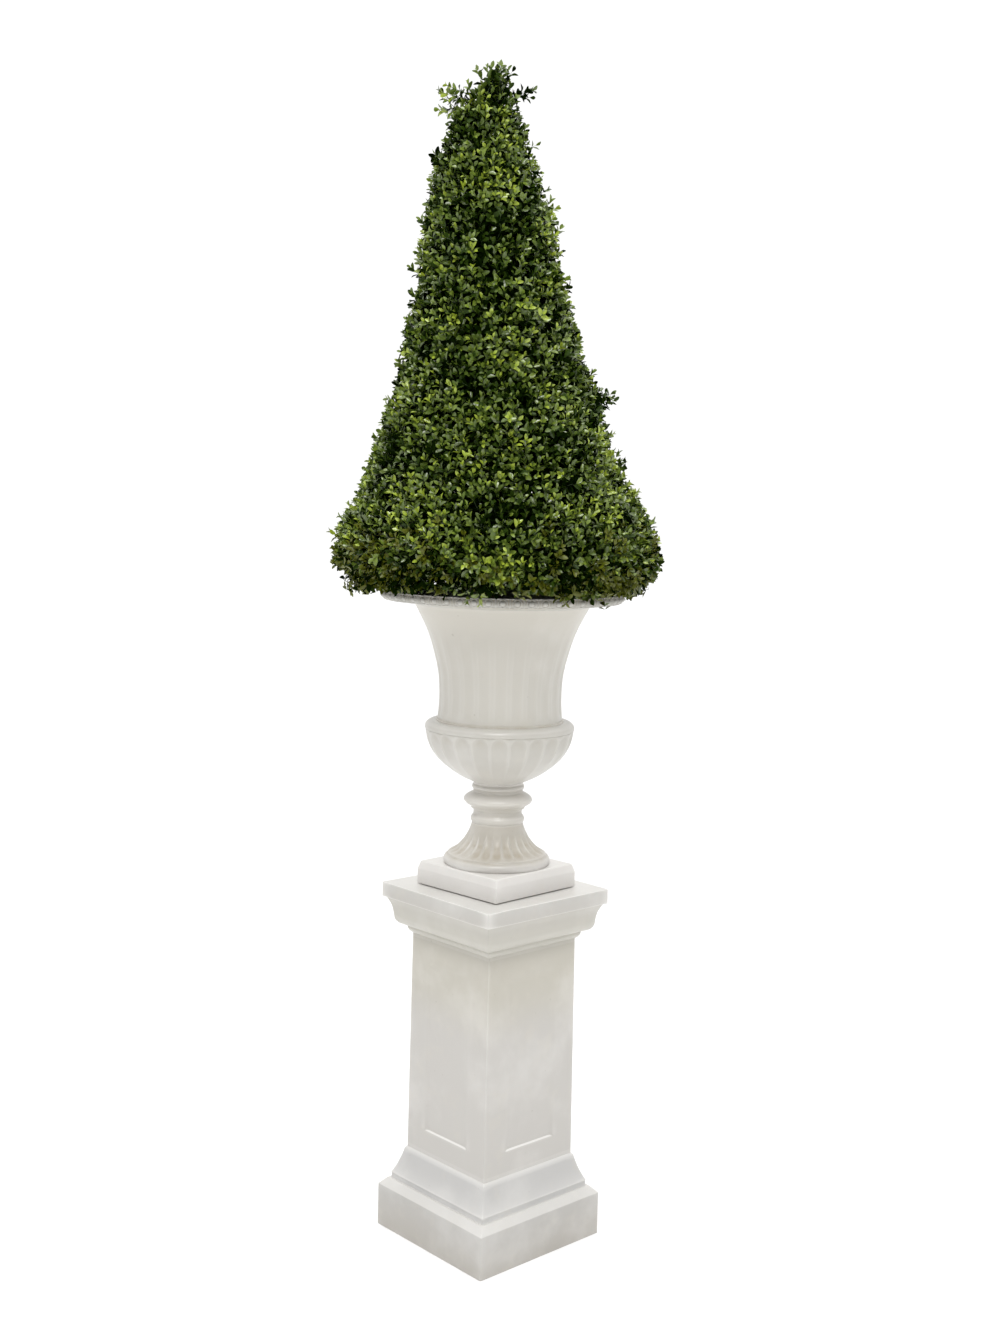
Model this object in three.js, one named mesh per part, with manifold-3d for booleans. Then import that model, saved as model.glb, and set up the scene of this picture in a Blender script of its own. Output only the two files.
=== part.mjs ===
// A clipped cone of box foliage on a leaning stem, in a fluted urn on a square pedestal.
// Millimetres, +Z up. The origin is the middle of the pedestal's flat underside, and the
// pedestal's four faces look along +X, -X, +Y and -Y.

import * as THREE from 'three';
import { mergeVertices } from 'three/addons/utils/BufferGeometryUtils.js';
import Module from 'manifold-3d';

const wasm = await Module();
wasm.setup();

// ---- driving dimensions ----

const pedestal = {
  plinthHalf: 180.5, // half the width of the square foot block
  plinthTop: 97, // height where the block's sides end
  ledgeHalf: 165, // the ledge above the block's rounded edge
  ledgeTop: 113,
  shaftFoot: 190,
  shaftFootHalf: 133.6,
  shaftTop: 694,
  shaftTopHalf: 130.6,
  capFoot: 776, // underside of the top slab
  capHalf: 181,
  top: 809,
};

const panel = {
  width: 150, // the sunk panel on each face of the shaft
  foot: 245,
  top: 636,
  depth: 5,
};

const urn = {
  turn: THREE.MathUtils.degToRad(2.85), // the urn stands a little askew on its pedestal
  place: { x: 1.5, y: 1.6 }, // and a little off its middle
  shadowGap: 3, // height of the rebate under the square base
  rebate: 4, // and its depth
  blockHalf: 126.3,
  blockTop: 863,
  ringRadius: 118, // the round foot where it meets the block
  footTop: 956,
  stemRadius: 57, // the narrow stem between foot and bowl
  knopRadius: 77,
  knopTop: 1048,
  bowlRadius: 167,
  bowlEdge: 30, // height of the plain rolled edge
  bowlTop: 1186,
  neckRadius: 194, // the flared top of the body, under the rim
  rimFoot: 1444,
  rimTop: 1475,
  rimRadius: 270,
  wall: 10,
  floor: 12,
  fillTop: 1400,
};

// The urn's body: radius and height, from the bowl up to the flared neck.
const bodyOutline = new THREE.SplineCurve([
  new THREE.Vector2(140, urn.bowlTop),
  new THREE.Vector2(136.5, 1235),
  new THREE.Vector2(139, 1288),
  new THREE.Vector2(149, 1335),
  new THREE.Vector2(166, 1388),
  new THREE.Vector2(urn.neckRadius, urn.rimFoot),
]);
const bodySteps = 5;

const flutes = {
  count: 24, // channels round the foot, the bowl and the body alike
  footDepth: 2.5,
  bowlDepth: 5,
  bodyDepth: 3,
};

const cone = {
  leanSide: THREE.MathUtils.degToRad(227.7), // the way the axis leans, round from +X
  lean: 0.0453, // sideways shift for each unit of height, 2.6 degrees
  leanFrom: 1190, // height where the axis crosses the pedestal's own axis
  top: 2505,
  seamGap: 0.5, // room between one mass and the next, and round the trunk
  boreLimit: 40, // a mass's corners nearer the axis than this belong to its bore
  seatRadius: 284, // the skirt's flat underside, just past the urn's rim
  sides: 40,
};

const trunk = {
  flareRadius: 24, // at the flat cut
  flareHeight: 45,
  footRadius: 17,
  topRadius: 9,
  sides: 16,
};

const leader = {
  ring: 4.6, // distance of each leader from the trunk's middle at its foot
  footRadius: 2.8,
  tipRadius: 1.6,
  sides: 6,
};

// The crown's outline: radius and height, from the skirt's foot to the flat top.
const crownOutline = new THREE.SplineCurve([
  new THREE.Vector2(298, 1458),
  new THREE.Vector2(350, 1506),
  new THREE.Vector2(367, 1555),
  new THREE.Vector2(348, 1616),
  new THREE.Vector2(302, 1700),
  new THREE.Vector2(247, 1850),
  new THREE.Vector2(187, 2050),
  new THREE.Vector2(135, 2290),
  new THREE.Vector2(92, 2460),
  new THREE.Vector2(76, 2505),
]);

// The masses of the crown, bottom to top, each from the last one's height to its own.
const crownMasses = [
  { name: 'foliage_skirt', top: 1622, rings: 6 },
  { name: 'foliage_lower', top: 1830, rings: 5 },
  { name: 'foliage_middle', top: 2080, rings: 5 },
  { name: 'foliage_upper', top: 2320, rings: 5 },
  { name: 'foliage_tip', top: cone.top, rings: 4 },
];

// Small masses that stand proud: where they lie from the crown's axis, to the right of
// and behind the lean, and their half sizes the same way.
const tufts = [
  { name: 'left', right: -66, back: -6, height: 2538, half: [38, 31, 23] },
  { name: 'middle', right: 24, back: -8, height: 2574, half: [42, 36, 27] },
  { name: 'right', right: 82, back: 2, height: 2545, half: [31, 28, 20] },
  { name: 'back', right: 8, back: 62, height: 2542, half: [36, 34, 24] },
];

const sideSprig = {
  grownFrom: 'foliage_middle',
  right: 250,
  back: -14,
  height: 1888,
  half: [37, 38, 33],
};

const resinLook = { color: 0xd6d1c5, roughness: 0.42, metalness: 0 };
const darkResinLook = { color: 0xcac4b6, roughness: 0.5, metalness: 0 };
const foamLook = { color: 0x3a3f2c, roughness: 0.95, metalness: 0 };
const barkLook = { color: 0x4a3d2c, roughness: 0.85, metalness: 0 };
const leaderLook = { color: 0x2f3f38, roughness: 0.6, metalness: 0 };
const leafLook = { color: 0x3f5a25, roughness: 0.6, metalness: 0 };

// ---- helpers ----

// Merges shared corners and drops the triangles that have no area.
function weld(geometry) {
  geometry.deleteAttribute('normal');
  geometry.deleteAttribute('uv');
  const merged = mergeVertices(geometry, 1e-3);
  const index = merged.index.array;
  const kept = [];
  for (let i = 0; i < index.length; i += 3) {
    const [a, b, c] = [index[i], index[i + 1], index[i + 2]];
    if (a !== b && b !== c && c !== a) kept.push(a, b, c);
  }
  merged.setIndex(kept);
  return merged;
}

function finished(name, geometry, look) {
  geometry.computeVertexNormals();
  const mesh = new THREE.Mesh(geometry, new THREE.MeshStandardMaterial(look));
  mesh.name = name;
  return mesh;
}

// Turns a profile of (radius, height) points about +Z.
function turned(points, sides, start = 0) {
  const geometry = new THREE.LatheGeometry(points, sides, start);
  geometry.rotateX(Math.PI / 2);
  return weld(geometry);
}

// The same with four flat sides: the profile gives half the width.
function squared(points) {
  const corners = points.map((point) => new THREE.Vector2(point.x * Math.SQRT2, point.y));
  return turned(corners, 4, Math.PI / 4);
}

function solidFrom(geometry) {
  const mesh = new wasm.Mesh({
    numProp: 3,
    vertProperties: Float32Array.from(geometry.attributes.position.array),
    triVerts: Uint32Array.from(geometry.index.array),
  });
  return new wasm.Manifold(mesh);
}

function geometryFrom(solid) {
  const mesh = solid.getMesh();
  const geometry = new THREE.BufferGeometry();
  geometry.setAttribute('position', new THREE.BufferAttribute(mesh.vertProperties, 3));
  geometry.setIndex(new THREE.BufferAttribute(mesh.triVerts, 1));
  return geometry;
}

function subtract(geometry, ...cutters) {
  let solid = solidFrom(geometry);
  for (const cutter of cutters) {
    solid = solid.subtract(solidFrom(cutter));
  }
  return geometryFrom(solid);
}

// Moves every vertex of a geometry by a function of its place.
function reshape(geometry, move) {
  const position = geometry.attributes.position;
  const point = new THREE.Vector3();
  for (let i = 0; i < position.count; i += 1) {
    point.fromBufferAttribute(position, i);
    move(point);
    position.setXYZ(i, point.x, point.y, point.z);
  }
  return geometry;
}

// The radius of an outline at a height, between the two points that hold it.
function radiusAt(points, height) {
  for (let i = 1; i < points.length; i += 1) {
    const [low, high] = [points[i - 1], points[i]];
    if (height <= high.y) {
      return THREE.MathUtils.mapLinear(height, low.y, high.y, low.x, high.x);
    }
  }
  return points[points.length - 1].x;
}

// ---- pedestal ----

function makePlinth() {
  const { plinthHalf, plinthTop, ledgeHalf, ledgeTop } = pedestal;
  const outline = new THREE.Path();
  outline.moveTo(0, 0);
  outline.lineTo(plinthHalf, 0);
  outline.lineTo(plinthHalf, plinthTop);
  outline.quadraticCurveTo(plinthHalf - 1, ledgeTop - 4, ledgeHalf, ledgeTop);
  outline.lineTo(0, ledgeTop);
  return squared(outline.getPoints(4));
}

function makeBaseMoulding() {
  const { ledgeHalf, ledgeTop, shaftFoot, shaftFootHalf } = pedestal;
  const groove = 4;
  const flareFoot = ledgeTop + groove;
  const outline = new THREE.Path();
  outline.moveTo(0, ledgeTop);
  outline.lineTo(ledgeHalf - groove - 2, ledgeTop);
  outline.lineTo(ledgeHalf - groove, flareFoot);
  outline.quadraticCurveTo(ledgeHalf - 18, flareFoot + 33, shaftFootHalf + 2, shaftFoot - 3);
  outline.lineTo(shaftFootHalf + 2, shaftFoot);
  outline.lineTo(0, shaftFoot);
  return squared(outline.getPoints(6));
}

function makeShaft() {
  const { shaftFoot, shaftFootHalf, shaftTop, shaftTopHalf } = pedestal;
  const shaft = squared([
    new THREE.Vector2(0, shaftFoot),
    new THREE.Vector2(shaftFootHalf, shaftFoot),
    new THREE.Vector2(shaftTopHalf, shaftTop),
    new THREE.Vector2(0, shaftTop),
  ]);
  const taper = (shaftFootHalf - shaftTopHalf) / (shaftTop - shaftFoot);
  const middle = (panel.foot + panel.top) / 2;
  const face = shaftFootHalf - taper * (middle - shaftFoot);
  const reach = 20;
  const cutters = [];
  for (let side = 0; side < 4; side += 1) {
    const cutter = new THREE.BoxGeometry(panel.width, reach, panel.top - panel.foot);
    cutter.rotateX(-Math.atan(taper));
    cutter.translate(0, -face + panel.depth - reach / 2, middle);
    cutter.rotateZ((side * Math.PI) / 2);
    cutters.push(weld(cutter));
  }
  return subtract(shaft, ...cutters);
}

function makeCapMoulding() {
  const { shaftTop, shaftTopHalf, capFoot, capHalf } = pedestal;
  const outline = new THREE.Path();
  outline.moveTo(0, shaftTop);
  outline.lineTo(shaftTopHalf + 1, shaftTop);
  outline.quadraticCurveTo(shaftTopHalf + 12, shaftTop + 5, shaftTopHalf + 9, shaftTop + 13);
  outline.lineTo(shaftTopHalf + 11, shaftTop + 17);
  outline.quadraticCurveTo(shaftTopHalf + 29, shaftTop + 19, shaftTopHalf + 31, shaftTop + 36);
  outline.quadraticCurveTo(shaftTopHalf + 33, shaftTop + 60, capHalf - 12, capFoot - 12);
  outline.lineTo(capHalf - 6, capFoot);
  outline.lineTo(0, capFoot);
  return squared(outline.getPoints(4));
}

function makeCap() {
  const { capFoot, capHalf, top } = pedestal;
  const softEdge = 3;
  const outline = new THREE.Path();
  outline.moveTo(0, capFoot);
  outline.lineTo(capHalf, capFoot);
  outline.lineTo(capHalf, top - softEdge);
  outline.quadraticCurveTo(capHalf, top, capHalf - softEdge, top);
  outline.lineTo(0, top);
  return squared(outline.getPoints(2));
}

function makePedestal() {
  return [
    finished('pedestal_plinth', makePlinth(), resinLook),
    finished('pedestal_base_moulding', makeBaseMoulding(), resinLook),
    finished('pedestal_shaft', makeShaft(), resinLook),
    finished('pedestal_cap_moulding', makeCapMoulding(), resinLook),
    finished('pedestal_cap', makeCap(), resinLook),
  ];
}

// ---- urn ----

const urnSides = flutes.count * 2;
const plainSides = 24; // for the round pieces with no channels

// Sinks every second line of corners on the outside wall, between two heights, so that the
// wall has channels and arrises, with a channel on each corner of the square block. The
// inside, if there is one, lies within insideRadius.
function carve(geometry, from, to, depth, insideRadius = () => 0) {
  return reshape(geometry, (point) => {
    const radius = Math.hypot(point.x, point.y);
    const line = Math.round((Math.atan2(point.y, point.x) / (2 * Math.PI)) * urnSides);
    const inChannel = line % 2 === 0 && point.z > from && point.z < to;
    if (inChannel && radius > insideRadius(point.z)) {
      point.x *= (radius - depth) / radius;
      point.y *= (radius - depth) / radius;
    }
  });
}

function makeUrnBlock() {
  const { blockHalf, blockTop, shadowGap, rebate } = urn;
  const foot = pedestal.top;
  const batter = 18; // the top of the block's sides leans in
  const outline = new THREE.Path();
  outline.moveTo(0, foot);
  outline.lineTo(blockHalf - rebate, foot);
  outline.lineTo(blockHalf - rebate, foot + shadowGap);
  outline.lineTo(blockHalf, foot + shadowGap);
  outline.lineTo(blockHalf, blockTop - batter);
  outline.lineTo(blockHalf - 5, blockTop - 2);
  outline.lineTo(blockHalf - 8, blockTop);
  outline.lineTo(0, blockTop);
  return squared(outline.getPoints());
}

// A low torus ring, and a fluted flare that sweeps up from it to the stem.
function makeUrnFoot() {
  const { blockTop, ringRadius, footTop, stemRadius } = urn;
  const flareFoot = blockTop + 23;
  const flareRadius = ringRadius - 8;
  const outline = new THREE.Path();
  outline.moveTo(0, blockTop);
  outline.lineTo(ringRadius, blockTop);
  outline.lineTo(ringRadius - 5, blockTop + 8);
  outline.quadraticCurveTo(ringRadius + 1, blockTop + 13, ringRadius - 5, blockTop + 19);
  outline.lineTo(flareRadius, flareFoot);
  outline.quadraticCurveTo(stemRadius + 13, flareFoot + 20, stemRadius, footTop);
  outline.lineTo(0, footTop);
  const geometry = turned(outline.getPoints(3), urnSides);
  return carve(geometry, flareFoot + 1, footTop - 6, flutes.footDepth);
}

// From below: a bead, a collar, the wide knop, a groove and a smaller bead.
function makeUrnKnop() {
  const { footTop, stemRadius, knopRadius, knopTop } = urn;
  const shoulder = knopRadius - 15;
  const groove = stemRadius - 3;
  const outline = new THREE.Path();
  outline.moveTo(0, footTop);
  outline.lineTo(stemRadius, footTop);
  outline.quadraticCurveTo(stemRadius + 7, footTop + 9, stemRadius - 1, footTop + 17);
  outline.lineTo(groove, footTop + 28);
  outline.lineTo(shoulder, footTop + 34);
  outline.quadraticCurveTo(2 * knopRadius - shoulder, footTop + 50, shoulder, footTop + 64);
  outline.lineTo(groove, footTop + 68);
  outline.lineTo(groove, footTop + 75);
  outline.quadraticCurveTo(groove + 6, footTop + 81, groove, footTop + 87);
  outline.lineTo(groove, knopTop);
  outline.lineTo(0, knopTop);
  return turned(outline.getPoints(3), plainSides);
}

function makeUrnBowl() {
  const { knopTop, stemRadius, bowlRadius, bowlEdge, bowlTop } = urn;
  const edgeFoot = bowlTop - bowlEdge;
  const outline = new THREE.Path();
  outline.moveTo(0, knopTop);
  outline.lineTo(stemRadius - 1, knopTop);
  outline.quadraticCurveTo(bowlRadius - 7, knopTop + 43, bowlRadius, edgeFoot);
  outline.quadraticCurveTo(bowlRadius, bowlTop - 2, bowlRadius - 18, bowlTop);
  outline.lineTo(0, bowlTop);
  const geometry = turned(outline.getPoints(4), urnSides);
  return carve(geometry, knopTop + 2, edgeFoot - 1, flutes.bowlDepth);
}

// The body is an open cup: its outside wall, the flat top edge, and its inside wall.
function makeUrnBody() {
  const outside = bodyOutline.getPoints(bodySteps);
  const inside = outside.slice(1).map((point) => new THREE.Vector2(point.x - urn.wall, point.y));
  const floorTop = urn.bowlTop + urn.floor;
  const points = [
    new THREE.Vector2(0, urn.bowlTop),
    ...outside,
    ...inside.reverse(),
    new THREE.Vector2(outside[0].x - urn.wall, floorTop),
    new THREE.Vector2(0, floorTop),
  ];
  const geometry = turned(points, urnSides);
  const midWall = (height) => radiusAt(outside, height) - urn.wall / 2;
  return carve(geometry, urn.bowlTop + 5, urn.rimFoot - 40, flutes.bodyDepth, midWall);
}

// The packing that the trunk stands on, clear of the wall all round.
function makeUrnFill() {
  const clear = 0.4;
  const sideClear = 1.5;
  const floorTop = urn.bowlTop + urn.floor;
  const outside = bodyOutline.getPoints(bodySteps);
  const heights = outside.map((point) => point.y).filter((y) => y > floorTop && y < urn.fillTop);
  const wall = [floorTop + clear, ...heights, urn.fillTop].map((height) => {
    return new THREE.Vector2(radiusAt(outside, height) - urn.wall - sideClear, height);
  });
  const points = [
    new THREE.Vector2(0, floorTop + clear),
    ...wall,
    new THREE.Vector2(0, urn.fillTop),
  ];
  return turned(points, plainSides);
}

function makeUrnRim() {
  const { neckRadius, rimFoot, rimTop, rimRadius, wall } = urn;
  const mouth = neckRadius - wall;
  const outline = new THREE.Path();
  outline.moveTo(mouth, rimFoot);
  outline.lineTo(neckRadius, rimFoot);
  outline.quadraticCurveTo(neckRadius + 12, rimFoot + 9, rimRadius - 12, rimFoot + 13);
  outline.quadraticCurveTo(rimRadius + 2, rimFoot + 15, rimRadius, rimTop - 7);
  outline.quadraticCurveTo(rimRadius - 2, rimTop, rimRadius - 10, rimTop);
  outline.lineTo(mouth + 32, rimTop - 3);
  outline.quadraticCurveTo(mouth + 4, rimTop - 12, mouth, rimFoot);
  return turned(outline.getPoints(2), urnSides);
}

function makeUrn() {
  const group = new THREE.Group();
  group.rotation.z = urn.turn;
  group.position.set(urn.place.x, urn.place.y, 0);
  group.add(
    finished('urn_base_block', makeUrnBlock(), resinLook),
    finished('urn_foot', makeUrnFoot(), darkResinLook),
    finished('urn_knop', makeUrnKnop(), resinLook),
    finished('urn_bowl', makeUrnBowl(), darkResinLook),
    finished('urn_body', makeUrnBody(), resinLook),
    finished('urn_rim', makeUrnRim(), resinLook),
    finished('urn_fill', makeUrnFill(), foamLook),
  );
  return group;
}

// ---- the crown and its stems ----

const right = new THREE.Vector2(-Math.cos(cone.leanSide), -Math.sin(cone.leanSide));
const back = new THREE.Vector2(-right.y, right.x);

function axisAt(height) {
  const shift = -cone.lean * (height - cone.leanFrom);
  return new THREE.Vector2(right.x * shift, right.y * shift);
}

function leanOver(geometry) {
  return reshape(geometry, (point) => {
    const axis = axisAt(point.z);
    point.x += axis.x;
    point.y += axis.y;
  });
}

// A place given from the crown's axis, to the right of and behind the lean.
function fromAxis(rightward, backward, height) {
  const axis = axisAt(height);
  return new THREE.Vector3(
    axis.x + right.x * rightward + back.x * backward,
    axis.y + right.y * rightward + back.y * backward,
    height,
  );
}

function trunkRadius(height) {
  const { flareRadius, flareHeight, footRadius, topRadius } = trunk;
  const rise = height - urn.fillTop;
  const length = cone.top - urn.fillTop;
  const plain = THREE.MathUtils.mapLinear(rise, 0, length, footRadius, topRadius);
  const flare = Math.max(0, 1 - rise / flareHeight) ** 2;
  return plain + (flareRadius - footRadius) * flare;
}

// One whole tapering trunk, with a flat cut at each end.
function makeTrunk() {
  const outline = [new THREE.Vector2(0, urn.fillTop)];
  const flareSteps = 3;
  for (let i = 0; i < flareSteps; i += 1) {
    const height = urn.fillTop + (trunk.flareHeight * i) / flareSteps;
    outline.push(new THREE.Vector2(trunkRadius(height), height));
  }
  const steps = 5;
  for (let i = 0; i <= steps; i += 1) {
    const rise = THREE.MathUtils.lerp(trunk.flareHeight, cone.top - urn.fillTop, i / steps);
    outline.push(new THREE.Vector2(trunkRadius(urn.fillTop + rise), urn.fillTop + rise));
  }
  outline.push(new THREE.Vector2(0, cone.top));
  return leanOver(turned(outline, trunk.sides));
}

// How far the clipped surface swells or sinks at an angle round the axis and a height.
function unevenness(angle, height) {
  const size = THREE.MathUtils.mapLinear(height, 1450, cone.top, 1, 0.45);
  const broad = 5 * Math.sin(3 * angle + height / 46 + 1.1);
  const middling = 4 * Math.sin(5 * angle - height / 31 + 2.3);
  const small = 4 * Math.sin(9 * angle + height / 17 + 0.7);
  return size * (broad + middling + small);
}

// How far the seam between two masses wanders up and down.
function seamWander(angle, seam) {
  return 6 * Math.sin(2 * angle + 1.7 * seam) + 3 * Math.sin(5 * angle + seam);
}

// The skirt's lip lies higher at the front and the back than at the two sides.
function lipRise(angle) {
  return 8 - 8 * Math.cos(2 * (angle - cone.leanSide));
}

const outlinePoints = crownOutline.getPoints(60);
const skirtSeat = urn.rimTop + cone.seamGap;

// One mass: a ring of foliage round the trunk, closed, with an uneven outside.
function makeMass(seam, swell = 0) {
  const { top, rings } = crownMasses[seam];
  const foot = seam === 0 ? outlinePoints[0].y : crownMasses[seam - 1].top + cone.seamGap;
  const isSkirt = seam === 0;
  const isTip = seam === crownMasses.length - 1;
  const outside = [];
  for (let i = 0; i <= rings; i += 1) {
    const height = THREE.MathUtils.lerp(foot, top, i / rings);
    outside.push(new THREE.Vector2(radiusAt(outlinePoints, height), height));
  }
  const boreFoot = isSkirt ? skirtSeat : foot;
  const bore = [boreFoot, top].map((height) => {
    return new THREE.Vector2(trunkRadius(height) + cone.seamGap, height);
  });
  const seat = isSkirt ? [new THREE.Vector2(cone.seatRadius, skirtSeat)] : [];
  const points = [bore[0], ...seat, ...outside, bore[1], bore[0]];
  const geometry = turned(points, cone.sides);
  reshape(geometry, (point) => {
    const radius = Math.hypot(point.x, point.y);
    const angle = Math.atan2(point.y, point.x);
    const onBore = radius < cone.boreLimit;
    const onSeat = isSkirt && point.z === Math.fround(skirtSeat);
    if (onBore || onSeat) return;
    const atTop = !isTip && point.z === Math.fround(top);
    const atLip = isSkirt && point.z === Math.fround(foot);
    const atFoot = !isSkirt && point.z === Math.fround(foot);
    if (atTop) point.z += seamWander(angle, seam);
    if (atFoot) point.z += seamWander(angle, seam - 1);
    const plain = radiusAt(outlinePoints, point.z);
    const grown = plain + unevenness(angle, point.z) + swell;
    if (atLip) point.z += lipRise(angle);
    point.x *= grown / radius;
    point.y *= grown / radius;
  });
  return leanOver(geometry);
}

// A small uneven mass: a sphere pulled to three half sizes, turned to the lean's sides.
function makeTuft(place, half, swell = 0) {
  const geometry = new THREE.SphereGeometry(1, 12, 8);
  geometry.rotateX(Math.PI / 2);
  const welded = weld(geometry);
  return reshape(welded, (point) => {
    const angle = Math.atan2(point.y, point.x);
    const lump = 1 + 0.09 * Math.sin(3 * angle + 4 * point.z) - 0.06 * Math.cos(5 * angle);
    const x = point.x * (half[0] * lump + swell);
    const y = point.y * (half[1] * lump + swell);
    point.z = place.z + point.z * (half[2] + swell);
    point.x = place.x + right.x * x + back.x * y;
    point.y = place.y + right.y * x + back.y * y;
  });
}

// A thin stem from the trunk's flat top to the mass that it enters.
function makeLeader(index, place, tuft) {
  const { ring, footRadius, tipRadius, sides } = leader;
  const foot = axisAt(cone.top);
  const turnTo = cone.leanSide + (index * Math.PI) / 2;
  const start = new THREE.Vector2(foot.x + ring * Math.cos(turnTo), foot.y + ring * Math.sin(turnTo));
  const length = place.z - cone.top;
  const outline = [new THREE.Vector2(0, cone.top)];
  const steps = 5;
  for (let i = 0; i <= steps; i += 1) {
    const radius = THREE.MathUtils.lerp(footRadius, tipRadius, i / steps);
    outline.push(new THREE.Vector2(radius, cone.top + (length * i) / steps));
  }
  outline.push(new THREE.Vector2(0, place.z));
  const stem = reshape(turned(outline, sides), (point) => {
    const along = (point.z - cone.top) / length;
    const bend = along ** 1.6;
    point.x += THREE.MathUtils.lerp(start.x, place.x, bend);
    point.y += THREE.MathUtils.lerp(start.y, place.y, bend);
  });
  return subtract(stem, tuft);
}

function makeCrown() {
  const pieces = [finished('trunk', makeTrunk(), barkLook)];
  crownMasses.forEach((mass, seam) => {
    pieces.push(finished(mass.name, makeMass(seam), leafLook));
  });
  tufts.forEach(({ name, right: rightward, back: backward, height, half }, index) => {
    const place = fromAxis(rightward, backward, height);
    const room = makeTuft(place, half, cone.seamGap);
    pieces.push(finished(`leader_stem_${name}`, makeLeader(index, place, room), leaderLook));
    pieces.push(finished(`foliage_tuft_${name}`, makeTuft(place, half), leafLook));
  });
  const place = fromAxis(sideSprig.right, sideSprig.back, sideSprig.height);
  const grownFrom = crownMasses.findIndex((mass) => mass.name === sideSprig.grownFrom);
  const sprig = subtract(makeTuft(place, sideSprig.half), makeMass(grownFrom, cone.seamGap));
  pieces.push(finished('foliage_side_sprig', sprig, leafLook));
  return pieces;
}

// ---- assembly ----

const topiary = new THREE.Group();
topiary.add(...makePedestal(), makeUrn(), ...makeCrown());

export default topiary;
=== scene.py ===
import math

import bpy
import numpy as np
from mathutils import Matrix, Vector, noise


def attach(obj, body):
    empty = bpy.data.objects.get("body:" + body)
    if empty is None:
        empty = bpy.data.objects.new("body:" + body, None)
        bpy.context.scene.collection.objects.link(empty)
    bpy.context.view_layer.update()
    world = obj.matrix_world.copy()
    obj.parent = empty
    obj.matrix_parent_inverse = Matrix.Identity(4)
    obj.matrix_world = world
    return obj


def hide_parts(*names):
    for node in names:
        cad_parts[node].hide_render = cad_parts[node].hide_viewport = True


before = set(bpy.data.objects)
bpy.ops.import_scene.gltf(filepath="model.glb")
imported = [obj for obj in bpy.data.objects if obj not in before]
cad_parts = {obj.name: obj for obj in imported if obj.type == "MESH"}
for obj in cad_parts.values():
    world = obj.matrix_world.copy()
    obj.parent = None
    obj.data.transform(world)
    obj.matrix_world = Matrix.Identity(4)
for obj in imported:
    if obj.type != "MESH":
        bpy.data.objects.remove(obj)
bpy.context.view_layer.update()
mm = 0.001
tau = math.tau


view = {
    "distance": 3.5,  # from the pedestal's middle, along the floor
    "height": 1.6746,
    "side": 47.676,  # degrees round from looking along +Y
    "pitch": 6.008,  # looking down
    "roll": 1.326,
    "lens": 42.67,
    "film": 36.0,  # the long side
}


def addObject(name, data):
    thing = bpy.data.objects.new(name, data)
    bpy.context.scene.collection.objects.link(thing)
    return thing


def makeCamera():
    side = math.radians(view["side"])
    reach = view["distance"]
    data = bpy.data.cameras.new("viewpoint")
    data.sensor_width = view["film"]
    data.lens = view["lens"]
    camera = addObject("viewpoint", data)
    stand = Matrix.Translation((reach * math.sin(side), -reach * math.cos(side), view["height"]))
    tilt = Matrix.Rotation(math.radians(90 - view["pitch"]), 4, "X")
    roll = Matrix.Rotation(math.radians(view["roll"]), 4, "Z")
    camera.matrix_world = stand @ Matrix.Rotation(side, 4, "Z") @ tilt @ roll
    bpy.context.scene.camera = camera


def paint(red, green, blue):
    # screen colour, 0 to 255, as the linear colour that shaders take
    linear = [c / 3294.6 if c <= 10.31 else ((c / 255 + 0.055) / 1.055) ** 2.4 for c in (red, green, blue)]
    return (*linear, 1.0)


class Wire:
    # an output socket; arithmetic on it adds Math nodes
    def __init__(self, recipe, socket):
        self.recipe = recipe
        self.socket = socket

    def math(self, operation, first, second):
        return self.recipe.add("ShaderNodeMath", {"operation": operation}, {0: first, 1: second})

    def __add__(self, other):
        return self.math("ADD", self, other)

    def __sub__(self, other):
        return self.math("SUBTRACT", self, other)

    def __mul__(self, other):
        return self.math("MULTIPLY", self, other)

    def __rsub__(self, other):
        return self.math("SUBTRACT", other, self)

    __radd__ = __add__
    __rmul__ = __mul__


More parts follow.
